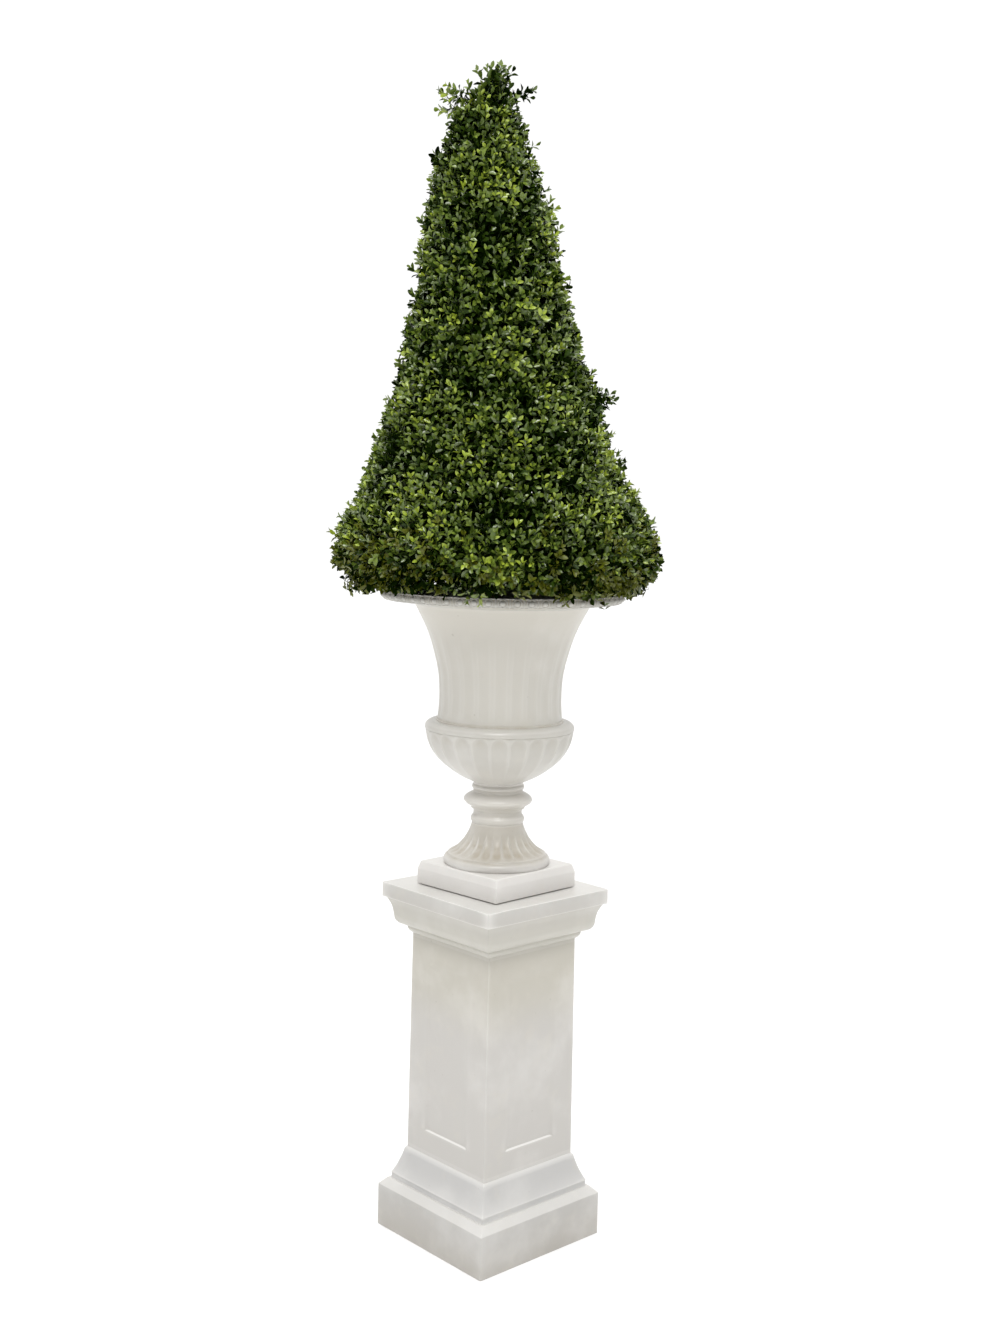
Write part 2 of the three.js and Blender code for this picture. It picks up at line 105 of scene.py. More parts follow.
class Recipe:
    # one material, or the world, and its nodes
    def __init__(self, name, owner=None, shader="Principled BSDF", **constants):
        self.owner = owner or bpy.data.materials.new(name)
        self.owner.use_nodes = True
        self.nodes = self.owner.node_tree.nodes
        self.links = self.owner.node_tree.links
        self.shader = self.nodes[shader]
        self.finish(**constants)

    def feed(self, node, values):
        for key, value in values.items():
            socket = node.inputs[key]
            if isinstance(value, Wire):
                self.links.new(value.socket, socket)
            else:
                socket.default_value = value

    def add(self, kind, settings=None, values=None, out=0):
        node = self.nodes.new(kind)
        for key, value in (settings or {}).items():
            setattr(node, key, value)
        self.feed(node, values or {})
        return Wire(self, node.outputs[out])

    def along(self, way, out):
        # how far one of the texture coordinates reaches in the given way
        place = self.add("ShaderNodeTexCoord", out=out)
        return self.add("ShaderNodeVectorMath", {"operation": "DOT_PRODUCT"}, {0: place, 1: way}, out=1)

    def noise(self, scale, detail=3.0, rough=0.5, at=(0, 0, 0), squash=(1, 1, 1)):
        place = self.add("ShaderNodeTexCoord", out=3)
        place = self.add("ShaderNodeMapping", values={0: place, 1: at, 3: squash})
        values = {"Vector": place, "Scale": scale, "Detail": detail, "Roughness": rough}
        return self.add("ShaderNodeTexNoise", values=values)

    def between(self, value, low, high, start=0.0, end=1.0):
        values = {0: value, 1: low, 2: high, 3: start, 4: end}
        return self.add("ShaderNodeMapRange", {"interpolation_type": "SMOOTHSTEP"}, values)

    def mix(self, amount, first, second, blend="MIX"):
        settings = {"data_type": "RGBA", "blend_type": blend}
        return self.add("ShaderNodeMix", settings, {0: amount, 6: first, 7: second}, out=2)

    def bump(self, height, strength, distance):
        values = {"Strength": strength, "Distance": distance, "Height": height}
        return self.add("ShaderNodeBump", values=values)

    def finish(self, **values):
        self.feed(self.shader, {key.replace("_", " "): value for key, value in values.items()})
        return self.owner


studio = {
    "backdrop": 1.04,  # brightness of the surround behind the object
    "front": 0.27,  # and of the darker side of the room, in front of it
    "frontWay": (0.739, -0.673, 0.0),
    "frontFade": (-0.2, 0.6),
    "overhead": 0.9,  # what the ceiling adds straight above
    "overheadFade": (0.5, 1.0),
    "floorSize": 60.0,
    "floorGlow": 0.02,
    "keyPower": 150.0,
    "keySize": 1.9,
    "keyPlace": (2.45, -2.35, 4.7),
    "keyAim": (0.0, 0.0, 1.5),
}


def makeStudio():
    room = bpy.data.worlds.new("studio")
    bpy.context.scene.world = room
    bpy.context.scene.view_settings.view_transform = "Standard"
    recipe = Recipe("studio", room, "Background", Color=(1, 1, 1, 1))
    front = recipe.along(studio["frontWay"], 0)
    around = recipe.between(front, *studio["frontFade"], studio["backdrop"], studio["front"])
    above = recipe.between(recipe.along((0, 0, 1), 0), *studio["overheadFade"], 0.0, studio["overhead"])
    recipe.finish(Strength=around + above)

    half = studio["floorSize"] / 2
    mesh = bpy.data.meshes.new("studio_floor")
    corners = [(-half, -half, 0), (half, -half, 0), (half, half, 0), (-half, half, 0)]
    mesh.from_pydata(corners, [], [(0, 1, 2, 3)])
    recipe = Recipe("floor_paint", Roughness=0.7, Emission_Strength=studio["floorGlow"])
    colour = recipe.mix(recipe.noise(3.0), (0.95, 0.95, 0.95, 1), (0.98, 0.98, 0.98, 1))
    mesh.materials.append(recipe.finish(Base_Color=colour))
    floor = addObject("studio_floor", mesh)

    lamp = bpy.data.lights.new("key_panel", "AREA")
    lamp.energy = studio["keyPower"]
    lamp.size = studio["keySize"]
    place = Vector(studio["keyPlace"])
    aim = (Vector(studio["keyAim"]) - place).to_track_quat("-Z", "Y").to_matrix().to_4x4()
    addObject("key_panel", lamp).matrix_world = Matrix.Translation(place) @ aim


makeCamera()
makeStudio()
print("camera, light and floor are set")


def keep(name, mesh, material, nodes):
    # adds a finished piece to the object, in place of the named nodes
    mesh.name = name
    mesh.materials.append(material)
    piece = addObject(name, mesh)
    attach(piece, "root")
    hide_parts(*nodes)


def quadratic(start, control, end, steps):
    t = np.linspace(0, 1, steps + 1)[:, None]
    start, control, end = (np.array(point, float) for point in (start, control, end))
    return (1 - t) ** 2 * start + 2 * t * (1 - t) * control + t ** 2 * end


def unit(vectors):
    return vectors / np.maximum(np.linalg.norm(vectors, axis=-1, keepdims=True), 1e-9)


def ramp(value, start, end):
    # 0 up to the start and 1 from the end on, which may be the lower of the two
    return np.clip((value - start) / (end - start), 0, 1)


def splineThrough(points, steps):
    # uniform Catmull-Rom through the points, with the end points repeated
    padded = np.vstack([points[:1], points, points[-1:]])
    powers = np.vander(np.linspace(0, 1, steps, endpoint=False), 4, increasing=True)
    basis = np.array([[0, 2, 0, 0], [-1, 0, 1, 0], [2, -5, 4, -1], [-1, 3, -3, 1]]) / 2
    parts = [powers @ basis @ padded[i:i + 4] for i in range(len(points) - 1)]
    return np.vstack([*parts, points[-1:]])


def soften(points, radius, steps=4):
    # rounds the corners of an outline, apart from its two ends
    points = [np.array(point, float) for point in points]
    result = [points[0]]
    for before, corner, after in zip(points, points[1:], points[2:]):
        sides = [before - corner, after - corner]
        reach = min(radius, *(np.linalg.norm(side) * 0.45 for side in sides))
        start, end = (corner + unit(side) * reach for side in sides)
        result.extend(quadratic(start, corner, end, steps))
    return np.array([*result, points[-1]])


def refine(points, longest, guard=3.5):
    # adds points so that no stretch is longer than this, and close to both ends of a long one
    result = [points[0]]
    for a, b in zip(points, points[1:]):
        length = np.linalg.norm(b - a)
        pieces = max(1, math.ceil(length / longest))
        shares = [i / pieces for i in range(1, pieces)]
        if length > 3 * guard:
            shares = [guard / length, *shares, 1 - guard / length]
        result += [a + (b - a) * share for share in sorted([*shares, 1.0])]
    return np.array(result)


def blur(points, axis, closed, reach=6.0):
    # moves each point towards its neighbours along an axis, where those are within reach
    ahead, behind = np.roll(points, -1, axis), np.roll(points, 1, axis)
    if not closed:
        ahead[-1], behind[0] = points[-1], points[0]
    total, weights = 2 * points, 2.0
    for other in (ahead, behind):
        weight = np.exp(-(np.linalg.norm(other - points, axis=2, keepdims=True) / reach) ** 2)
        total, weights = total + weight * other, weights + weight
    return total / weights


def hollowness(rings, wrap):
    # above 0 in grooves and below 0 on edges, in millimetres
    smooth = rings.copy()
    for _ in range(8):
        smooth = blur(blur(smooth, 0, wrap), 1, True)
    along = np.roll(rings, -1, 1) - np.roll(rings, 1, 1)
    up = np.roll(rings, -1, 0) - np.roll(rings, 1, 0) if wrap else np.gradient(rings, axis=0)
    return ((smooth - rings) * unit(np.cross(along, up))).sum(axis=2)


def newMesh(points, faces):
    # a smooth mesh, from points in millimetres
    mesh = bpy.data.meshes.new("mesh")
    mesh.from_pydata((points * mm).tolist(), [], faces)
    mesh.shade_smooth()
    return mesh


def skin(rings, wrap=False):
    # a closed surface through rings of points: with its ends capped, or wrapped on itself
    rows, columns = rings.shape[:2]
    index = np.arange(rows * columns).reshape(rows, columns)
    low, high = (index, np.roll(index, -1, 0)) if wrap else (index[:-1], index[1:])
    faces = np.stack([low, np.roll(low, -1, 1), np.roll(high, -1, 1), high], axis=2).reshape(-1, 4).tolist()
    points = rings.reshape(-1, 3)
    hollow = hollowness(rings, wrap).ravel()
    if not wrap:
        foot = len(points)
        faces += [(foot, b, a) for a, b in zip(index[0], np.roll(index[0], -1))]
        faces += [(foot + 1, a, b) for a, b in zip(index[-1], np.roll(index[-1], -1))]
        points = np.vstack([points, rings[0].mean(axis=0), rings[-1].mean(axis=0)])
        hollow = np.append(hollow, [0, 0])
    mesh = newMesh(points, faces)
    mesh.set_sharp_from_angle(angle=math.radians(38))
    mesh.attributes.new("hollow", "FLOAT", "POINT").data.foreach_set("value", hollow.astype(np.float32))
    return mesh


castFinish = {
    "pale": paint(222, 220, 216),
    "cloud": paint(199, 194, 183),
    "grimeAndShade": paint(155, 142, 118),
    "speck": paint(112, 98, 78),
    "gloss": 0.3,
}

# scale, detail, roughness and place of each noise in the paint
castGrain = {
    "broad": (6.0, 4, 0.55),
    "cloudy": (19.0, 6, 0.62, (3.1, 0.7, 1.9)),
    "fine": (160.0, 3, 0.6),
    "patchy": (32.0, 5, 0.6, (5, 2, 8)),
    "blotchy": (11.0, 6, 0.7, (9, 4, 2)),
    "dotted": (95.0, 1, 0.4, (1, 6, 3)),
}


def coat(foot, top, dirtAndShade, stain, wearAndHighlight, paintedOverheadLight, **more):
    ends = {"foot": paint(*foot), "top": paint(*top)}
    return {**ends, "dirtAndShade": dirtAndShade, "stain": stain, "wearAndHighlight": wearAndHighlight, "paintedOverheadLight": paintedOverheadLight, **more}


# screen colours at the foot and the top of each casting, each matched to the casting's brightness in
# place, so that besides the paint's own tone they hold painted light and shade; then how much its
# hollows darken, as dirt and painted shade; stain in blotches; how much its edges pale, as wear and
# a painted highlight; and how much its upper sides pale, as painted overhead light. The change is
# where one colour turns into the other, and the foot band is the height and strength of a darker
# band at the foot: dirt on the urn's foot and body, and a painted shadow line under the urn block
castLooks = {
    "plinth": coat((176, 172, 165), (178, 176, 172), 0.05, 0.1, 0.2, 0.5),
    "base_moulding": coat((184, 183, 181), (184, 183, 181), 0.05, 0.03, 0.3, 0.4),
    # the shaft pales towards its foot as a painted reflection of the floor, and its panels' lower lips pale
    # as painted overhead light
    "shaft": coat((188, 185, 180), (184, 180, 169), 0, 0.1, 0.15, 1.0, change=(0.56, 0.84)),
    "cap_moulding": coat((184, 181, 171), (189, 186, 178), 0, 0.06, 0.1, 0.3),
    # the cap's arrises pale strongly: a painted highlight, beside some wear
    "cap": coat((182, 179, 173), (186, 184, 179), 0.05, 0.06, 0.8, 0.5),
    # the block's lowest 3 mm darken: a painted shadow line along the shadow gap
    "urn_block": coat((209, 206, 202), (209, 206, 202), 0.1, 0.05, 0.6, 0.3, tide=(3, 0.9)),
    "urn_foot": coat((188, 185, 180), (175, 170, 160), 0.6, 0.3, 0.15, 0.1,
                     change=(0.06, 0.3), tide=(60, 0.4)),
    # the knop pales towards its top: painted light against the shade under the bowl
    "urn_knop": coat((186, 182, 173), (202, 198, 190), 0.1, 0.2, 0.15, 0.2),
    # the bowl is paler at its foot and darker at its roll: painted light where it is shaded underneath and
    # painted shade on its lit roll; its channels' tops darken partly as painted shade
    "urn_bowl": coat((193, 190, 183), (177, 174, 166), 0.5, 0.1, 0.15, 0.2),
    "urn_body": coat((195, 192, 184), (197, 193, 183), 0.08, 0.06, 0.12, 0, tide=(7, 0.5)),
    # the rim darkens towards its top and in its hollows: painted shade under the overhanging foliage, beside
    # dirt in the carving
    "urn_rim": coat((180, 178, 170), (150, 148, 141), 0.8, 0.1, 0.1, 0),
}


def castMaterial(part, low, high):
    # aged white paint on cast resin, with painted light and shade laid over it, for a casting that stands
    # between two heights in metres
    look = castLooks[part]
    recipe = Recipe("cast_" + part)
    broad, cloudy, fine, patchy, blotchy, dotted = (recipe.noise(*grain) for grain in castGrain.values())
    height, upward = (recipe.along((0, 0, 1), out) for out in (3, 1))
    hollow = recipe.add("ShaderNodeAttribute", {"attribute_name": "hollow"}, out=2)
    start, end = (low + (high - low) * share for share in look.get("change", (0, 1)))
    # the foot colour turns into the top one by height; on several castings that is painted light and shade
    rise = recipe.between(height + (broad - 0.5) * (0.7 * (end - start)), start, end)
    patchy = recipe.between(patchy, 0.34, 0.62)
    # darker in grooves and hollows: partly dirt, partly painted shade
    grimeAndShade = recipe.between(hollow, 0.1, 0.8) * (0.25 + 0.75 * patchy)
    dirtAndShade = grimeAndShade * look["dirtAndShade"] + recipe.between(blotchy, 0.58, 0.8) * look["stain"]
    # a darker band at the foot: dirt on the urn's foot and body, a painted shadow line under the urn block
    if "tide" in look:
        reach, strength = look["tide"]
        tide = (1 - recipe.between(height, low, low + reach * mm)) * (0.3 + 0.7 * patchy) * strength
        dirtAndShade = dirtAndShade + (tide * rise if "change" in look else tide)
    # edges paler: partly wear, partly a painted highlight along the arrises
    edge = 1 - recipe.between(hollow, -0.7, -0.1)
    colour = recipe.mix(rise, look["foot"], look["top"])
    layers = [
        (recipe.between(broad, 0.45, 0.7) * 0.3, "pale"),
        (recipe.between(cloudy, 0.5, 0.78) * 0.3, "cloud"),
        # upper sides paler: painted overhead light
        (recipe.between(upward, 0.25, 0.65) * look["paintedOverheadLight"], "pale"),
        # hollows, blotches and foot bands darkened: stains and dirt, with painted shade in the hollows and a
        # painted shadow line under the urn block
        (dirtAndShade, "grimeAndShade"),
        (edge * look["wearAndHighlight"], "pale"),
        (recipe.between(dotted, 0.79, 0.83) * 0.22, "speck"),
    ]
    for amount, over in layers:
        colour = recipe.mix(amount, colour, castFinish[over])
    rough = castFinish["gloss"] + 0.12 * broad + 0.2 * grimeAndShade
    bump = recipe.bump(broad + cloudy * 0.25 + fine * 0.05, 0.35, 0.0025)
    return recipe.finish(Base_Color=colour, Roughness=rough, Normal=bump)


def cast(part, node, rings, wrap=False):
    # one casting in place of its node
    low, high = rings[..., 2].min() * mm, rings[..., 2].max() * mm
    keep(part + "_casting", skin(rings, wrap), castMaterial(part, low, high), [node])


pedestal = {
    "plinthHalf": 180.5,
    "plinthTop": 97,
    "ledgeHalf": 165,
    "ledgeTop": 113,
    "groove": 4,
    "shaftFoot": 190,
    "shaftFootHalf": 133.6,
    "shaftTop": 694,
    "shaftTopHalf": 130.6,
    "capFoot": 776,
    "capHalf": 181,
    "top": 809,
    "corner": 2.6,  # softness of the four upright edges
}

panel = {
    "half": 76,
    "foot": 245,
    "top": 636,
    "depth": 1.4,
    "footDepth": 4.1,  # deeper towards its foot, over the fade
    "footFade": 70,
    "sideLip": 13.0,  # width of the sloped edges: soft ones, and a crisp one that catches the light
    "topLip": 16.0,
    "footLip": 5.0,
}


def squareRings(profile, marks=None):
    # rounded squares, one for each (half width, height); marks are fixed places along a side
    rings = []
    for half, height in profile:
        soft = min(pedestal["corner"], half * 0.4)
        straight = half - soft
        places = np.linspace(-straight, straight, 11) if marks is None else [-straight, *marks, straight]
        side = [(half, place) for place in places]
        for turn in np.radians([18, 36, 54, 72]):
            side.append((straight + soft * math.cos(turn), straight + soft * math.sin(turn)))
        quarters = [(1, 0), (0, 1), (-1, 0), (0, -1)]
        rings.append([(c * x - s * y, s * x + c * y, height) for c, s in quarters for x, y in side])
    return np.array(rings)


def plinthProfile():
    p = pedestal
    half, low, ledge, top = p["plinthHalf"], p["plinthTop"], p["ledgeHalf"], p["ledgeTop"]
    return refine(soften([(1, 0), (half, 0), (half, low), (ledge, top), (1, top)], 1.6), 22)


def baseMouldingProfile():
    p = pedestal
    low, neck = p["ledgeTop"], p["shaftFootHalf"] + 2
    lip = p["ledgeHalf"] - p["groove"]
    cove = quadratic((lip - 1, low), (lip - 3.5, low + 6), (lip - 1.5, low + 13), 8)
    flare = quadratic((lip - 2.5, low + 15), (lip - 15, low + 38), (neck + 2.4, p["shaftFoot"] - 4.5), 16)
    fillet = soften([flare[-1], (neck - 1.8, p["shaftFoot"]), (1, p["shaftFoot"])], 0.6)
    return refine(np.vstack([[(1, low)], cove, flare, fillet[1:]]), 22)


def capMouldingProfile():
    p = pedestal
    foot, half = p["shaftTop"], p["shaftTopHalf"]
    bead = quadratic((half + 0.5, foot), (half + 9, foot + 6), (half + 9, foot + 14), 8)
    cove = quadratic((half + 11, foot + 17), (half + 29, foot + 19), (half + 31, foot + 36), 9)
    swell = quadratic(cove[-1], (half + 33, foot + 60), (p["capHalf"] - 12, p["capFoot"] - 12), 9)
    top = soften([swell[-1], (p["capHalf"] - 6, p["capFoot"]), (1, p["capFoot"])], 1.5)
    return refine(np.vstack([[(1, foot)], bead, [(half + 9, foot + 16)], cove, swell[1:], top[1:]]), 22)


def capProfile():
    p = pedestal
    corners = [(1, p["capFoot"]), (p["capHalf"], p["capFoot"]), (p["capHalf"], p["top"]), (1, p["top"])]
    return refine(soften(corners, 1.4), 14)


def shaftRings():
    # the shaft's four faces, each with one sunk panel
    p = pedestal
    fade = np.array([-1.2, -0.5, 0, 0.25, 0.5, 0.75, 1, 1.5, 2.2])
    edges = panel["half"] - fade * panel["sideLip"]
    across = np.unique([*-edges, *edges, *np.linspace(-54, 54, 9), -120, -105, -92, 92, 105, 120])
    foot = panel["foot"] + fade * panel["footLip"]
    top = panel["top"] - fade[::-1] * panel["topLip"]
    ends = [p["shaftFoot"], p["shaftTop"]]
    heights = sorted([*ends, *np.linspace(200, 236, 4), *foot, *np.linspace(262, 592, 24), *top, 670, 685])
    halves = np.interp(heights, ends, [p["shaftFootHalf"], p["shaftTopHalf"]])
    rings = squareRings(zip(halves, heights), across)
    x, y, z = np.moveaxis(rings, 2, 0)
    sideways = (panel["half"] - np.minimum(abs(x), abs(y))) / panel["sideLip"]
    upright = np.minimum((z - panel["foot"]) / panel["footLip"], (panel["top"] - z) / panel["topLip"])
    step = np.clip(np.minimum(sideways, upright), 0, 1)
    low = ramp(z, panel["foot"] + panel["footFade"], panel["foot"]) ** 2
    depth = (panel["depth"] + (panel["footDepth"] - panel["depth"]) * low) * step * step * (3 - 2 * step)
    onX = abs(x) > abs(y)
    x -= np.where(onX, np.sign(x) * depth, 0)
    y -= np.where(onX, 0, np.sign(y) * depth)
    return np.concatenate([rings[:1] * (0.01, 0.01, 1), rings, rings[-1:] * (0.01, 0.01, 1)])


def makePedestal():
    castings = {
        "plinth": squareRings(plinthProfile()),
        "base_moulding": squareRings(baseMouldingProfile()),
        "shaft": shaftRings(),
        "cap_moulding": squareRings(capMouldingProfile()),
        "cap": squareRings(capProfile()),
    }
    for part, rings in castings.items():
        cast(part, "pedestal_" + part, rings)


makePedestal()
print("pedestal is cast")


urn = {
    "turn": 2.85,  # degrees askew on the pedestal
    "place": (1.5, 1.6),
    "shadowGap": 2.6,
    "rebate": 22,
    "blockHalf": 126.3,
    "blockTop": 863,
    "batter": 18,
    "ringRadius": 118,
    "footTop": 956,
    "stemRadius": 57,
    "knopRadius": 77,
    "knopTop": 1048,
    "bowlRadius": 167,
    "bowlTop": 1186,
    "neckRadius": 194,
    "rimFoot": 1444,
    "rimTop": 1475,
    "rimRadius": 270,
    "wall": 10,
    "floor": 12,
    "fillTop": 1400,
    "bodyOutline": [(140, 1186), (136.5, 1235), (139, 1288), (149, 1335), (166, 1388), (194, 1444)],
}

flutes = {
    "count": 24,
    "segments": 288,  # points round the urn
    "footDepth": 5.0,
    "footBand": 16,  # plain neck over the foot's channels
    "footFlare": 24,  # how high over the block they end
    "footScoop": (30, 0.6),  # how long they take to fade in, and how round their ends are
    "bowlDepth": 4.6,
    "bowlBand": 20,  # plain rolled band over the bowl's channels
    "bowlScoop": (95, 0.75),
    "bodyDepth": 2.1,
    "bodyFade": (1430, 1300),
    "fillet": 0.36,  # the flat share between two channels of the body
}

carving = {
    "repeats": 56,  # eggs round the rim
    "eggHalf": (6.6, 6.4),
    "eggRise": 3.8,
    "dartHalf": 2.2,
    "middle": 1463,
}


def lathe(profile, segments=flutes["segments"], sink=None):
    # rings round the urn's axis; sink gives how far the wall is cut in at an angle and height
    angles = np.arange(segments) * tau / segments
    radius, height = (np.repeat(profile[:, i:i + 1], segments, axis=1) for i in (0, 1))
    if sink:
        radius = radius - sink(angles[None, :], height, radius)
    return np.stack([radius * np.cos(angles), radius * np.sin(angles), height], axis=2)


def acrossChannel(angle):
    # 0 in the middle of a channel and 1 on the arris at either side
    turns = angle * flutes["count"] / tau
    return abs(turns - np.round(turns)) * 2


def scoop(angle, height, radius, shallow, deep, fade, power):
    # channels that fade in from one height and end deep and round at the other
    u = acrossChannel(angle)
    up = 1 if deep > shallow else -1
    v = np.clip(up * (height - deep) / (radius * math.sin(tau / flutes["count"] / 2)) + 1, 0, None)
    start = ramp(up * height, up * shallow, up * shallow + fade)
    return start * np.clip(1 - u ** 2 - v ** 2, 0, 1) ** power * (radius > 20)


def footProfile():
    low, ring, stem = urn["blockTop"], urn["ringRadius"], urn["stemRadius"]
    roll = quadratic((ring, low + 1), (ring + 5, low + 14), (ring - 6, low + 19), 10)
    sweep = quadratic((ring - 8, low + 23), (stem + 13, low + 43), (stem, urn["footTop"]), 30)
    start, groove, end = [(1, low), (ring - 1, low)], [(ring - 7.5, low + 20.5)], [(1, urn["footTop"])]
    return np.vstack([start, roll, groove, sweep, end])


def sinkFoot(angle, height, radius):
    neck, flare = urn["footTop"] - flutes["footBand"], urn["blockTop"] + flutes["footFlare"]
    return flutes["footDepth"] * scoop(angle, height, radius, neck, flare, *flutes["footScoop"])


def knopProfile():
    foot, stem, knop = urn["footTop"], urn["stemRadius"], urn["knopRadius"]
    shoulder, groove = knop - 15, stem - 1.5
    lowBead = quadratic((stem, foot), (stem + 7, foot + 9), (stem - 1, foot + 17), 9)
    collar = soften([lowBead[-1], (groove - 1, foot + 20), (groove - 1, foot + 28),
                     (shoulder - 2, foot + 33), (shoulder, foot + 38)], 1.5)
    wide = quadratic((shoulder, foot + 38), (2 * knop - shoulder, foot + 52), (shoulder, foot + 66), 16)
    neck = soften([wide[-1], (groove, foot + 69), (groove, foot + 75)], 1.5)
    topBead = quadratic((groove, foot + 75), (groove + 7, foot + 81), (groove, foot + 87), 9)
    return np.vstack([[(1, foot)], lowBead, collar[1:], wide[1:], neck[1:], topBead[1:],
                      [(groove, urn["knopTop"]), (1, urn["knopTop"])]])


def bowlProfile():
    foot, wide, top = urn["knopTop"], urn["bowlRadius"], urn["bowlTop"]
    edge = top - flutes["bowlBand"]
    belly = quadratic((urn["stemRadius"] - 1, foot), (wide - 7, foot + 43), (wide - 1.5, edge), 56)
    fillet = [(wide - 2, edge + 1), (wide, edge + 3)]
    roll = quadratic((wide, edge + 3), (wide + 1, top - 2), (wide - 18, top), 14)
    return np.vstack([[(1, foot)], belly, fillet, roll[1:], [(1, top)]])


def sinkBowl(angle, height, radius):
    edge = urn["bowlTop"] - flutes["bowlBand"] - 0.5
    return flutes["bowlDepth"] * scoop(angle, height, radius, urn["knopTop"], edge, *flutes["bowlScoop"])


def bodyProfile():
    low, wall = urn["bowlTop"], urn["wall"]
    outside = refine(splineThrough(urn["bodyOutline"], 14), 3.5)
    collar = [(outside[0, 0] + 3, low), (outside[0, 0] + 2.5, low + 3)]
    inside = (outside[3:] - (wall, 0))[::-1][::3]
    floor = [(outside[2, 0] - wall, low + urn["floor"]), (1, low + urn["floor"])]
    return np.vstack([[(1, low)], collar, outside[2:], inside, floor])


def sinkBody(angle, height, radius):
    outline = splineThrough(urn["bodyOutline"], 14)
    middle = np.interp(height, outline[:, 1], outline[:, 0]) - urn["wall"] / 2
    start = ramp(height, urn["bowlTop"] + 2, urn["bowlTop"] + 24)
    fade = ramp(height, *flutes["bodyFade"])
    channel = np.clip(1 - (acrossChannel(angle) / (1 - flutes["fillet"])) ** 2, 0, 1) ** 0.7
    return flutes["bodyDepth"] * start * fade * fade * (3 - 2 * fade) * channel * (radius > middle)


def rimProfile():
    neck, low, top, wide = urn["neckRadius"], urn["rimFoot"], urn["rimTop"], urn["rimRadius"]
    mouth = neck - urn["wall"]
    under = quadratic((neck, low), (neck + 12, low + 9), (wide - 13, low + 12), 12)
    fillet = [(wide - 9, low + 10), (wide - 6, low + 11)]
    face = quadratic((wide - 5, low + 12), (wide + 3, low + 18), (wide - 1, top - 3), 14)
    edge = quadratic((wide - 1, top - 3), (wide - 2, top), (wide - 8, top), 4)
    inner = quadratic((mouth + 32, top - 3), (mouth + 4, top - 12), (mouth, low), 8)
    return np.vstack([[(mouth, low)], under, fillet, face, edge[1:], inner[:-1]])


def sinkRim(angle, height, radius):
    # eggs and darts on the rim's front face, standing proud of a ground that is cut back
    pitch = tau * urn["rimRadius"] / carving["repeats"]
    turns = angle * carving["repeats"] / tau
    x = (turns - np.round(turns)) * pitch
    y = height - carving["middle"]
    halfX, halfY = carving["eggHalf"]
    reach = np.sqrt((x / halfX) ** 2 + ((y - 0.5) / halfY) ** 2)
    egg = np.sqrt(np.clip(1 - reach ** 2, 0, 1))
    collar = np.exp(-((reach - 1.38) / 0.17) ** 2) * 0.6
    between = pitch / 2 - abs(x)
    dart = np.clip(1 - between / carving["dartHalf"], 0, 1) * 0.7
    onFace = (radius > urn["rimRadius"] - 8) * np.clip((urn["rimTop"] - 1 - height) / 3, 0, 1)
    return onFace * carving["eggRise"] * (0.85 - np.maximum(np.maximum(egg, collar), dart))


def blockProfile():
    foot, half, top = pedestal["top"], urn["blockHalf"], urn["blockTop"]
    corners = [(1, foot), (half - urn["rebate"], foot), (half - urn["rebate"], foot + urn["shadowGap"]),
               (half, foot + urn["shadowGap"]), (half, top - urn["batter"]), (half - 5, top - 2),
               (half - 8, top), (1, top)]
    return refine(soften(corners, 0.7), 12)


def packingRings():
    # a rough mound of packing foam inside the urn, round the trunk's foot
    floor, clear = urn["bowlTop"] + urn["floor"] + 0.4, urn["wall"] + 1.5
    outline = splineThrough(urn["bodyOutline"], 6)
    wall = [(r - clear, z) for r, z in outline if floor < z < urn["fillTop"]]
    brim = np.interp(urn["fillTop"], outline[:, 1], outline[:, 0]) - clear
    top = [(brim * (1 - i / 14), urn["fillTop"]) for i in range(14)]
    rings = lathe(np.array([(1, floor), (wall[0][0], floor), *wall, *top]), 72)
    for row in rings[len(wall) + 2:]:
        for point in row:
            point[2] += 5 * noise.noise(Vector(point) / 22) + 2.5 * noise.noise(Vector(point) / 7) - 5
    return rings


def standUrn(rings):
    # from the urn's own frame to the object's
    turn = math.radians(urn["turn"])
    x = rings[..., 0] * math.cos(turn) - rings[..., 1] * math.sin(turn) + urn["place"][0]
    y = rings[..., 0] * math.sin(turn) + rings[..., 1] * math.cos(turn) + urn["place"][1]
    return np.stack([x, y, rings[..., 2]], axis=2)


def packingMaterial():
    recipe = Recipe("packing_foam", Roughness=0.95)
    grain = recipe.noise(220.0, 5, 0.7)
    broad = recipe.noise(30.0)
    colour = recipe.mix(grain * 0.6 + broad * 0.4, paint(26, 32, 20), paint(74, 80, 50))
    return recipe.finish(Base_Color=colour, Normal=recipe.bump(grain, 0.8, 0.003))


def makeUrn():
    cast("urn_block", "urn_base_block", standUrn(squareRings(blockProfile())))
    castings = {
        "urn_foot": lathe(footProfile(), sink=sinkFoot),
        "urn_knop": lathe(knopProfile(), 144),
        "urn_bowl": lathe(bowlProfile(), sink=sinkBowl),
        "urn_body": lathe(bodyProfile(), sink=sinkBody),
        "urn_rim": lathe(rimProfile(), carving["repeats"] * 14, sinkRim),
    }
    for part, rings in castings.items():
        cast(part, part, standUrn(rings), wrap=part == "urn_rim")
    keep("urn_foam", skin(standUrn(packingRings())), packingMaterial(), ["urn_fill"])


makeUrn()
print("urn is cast")


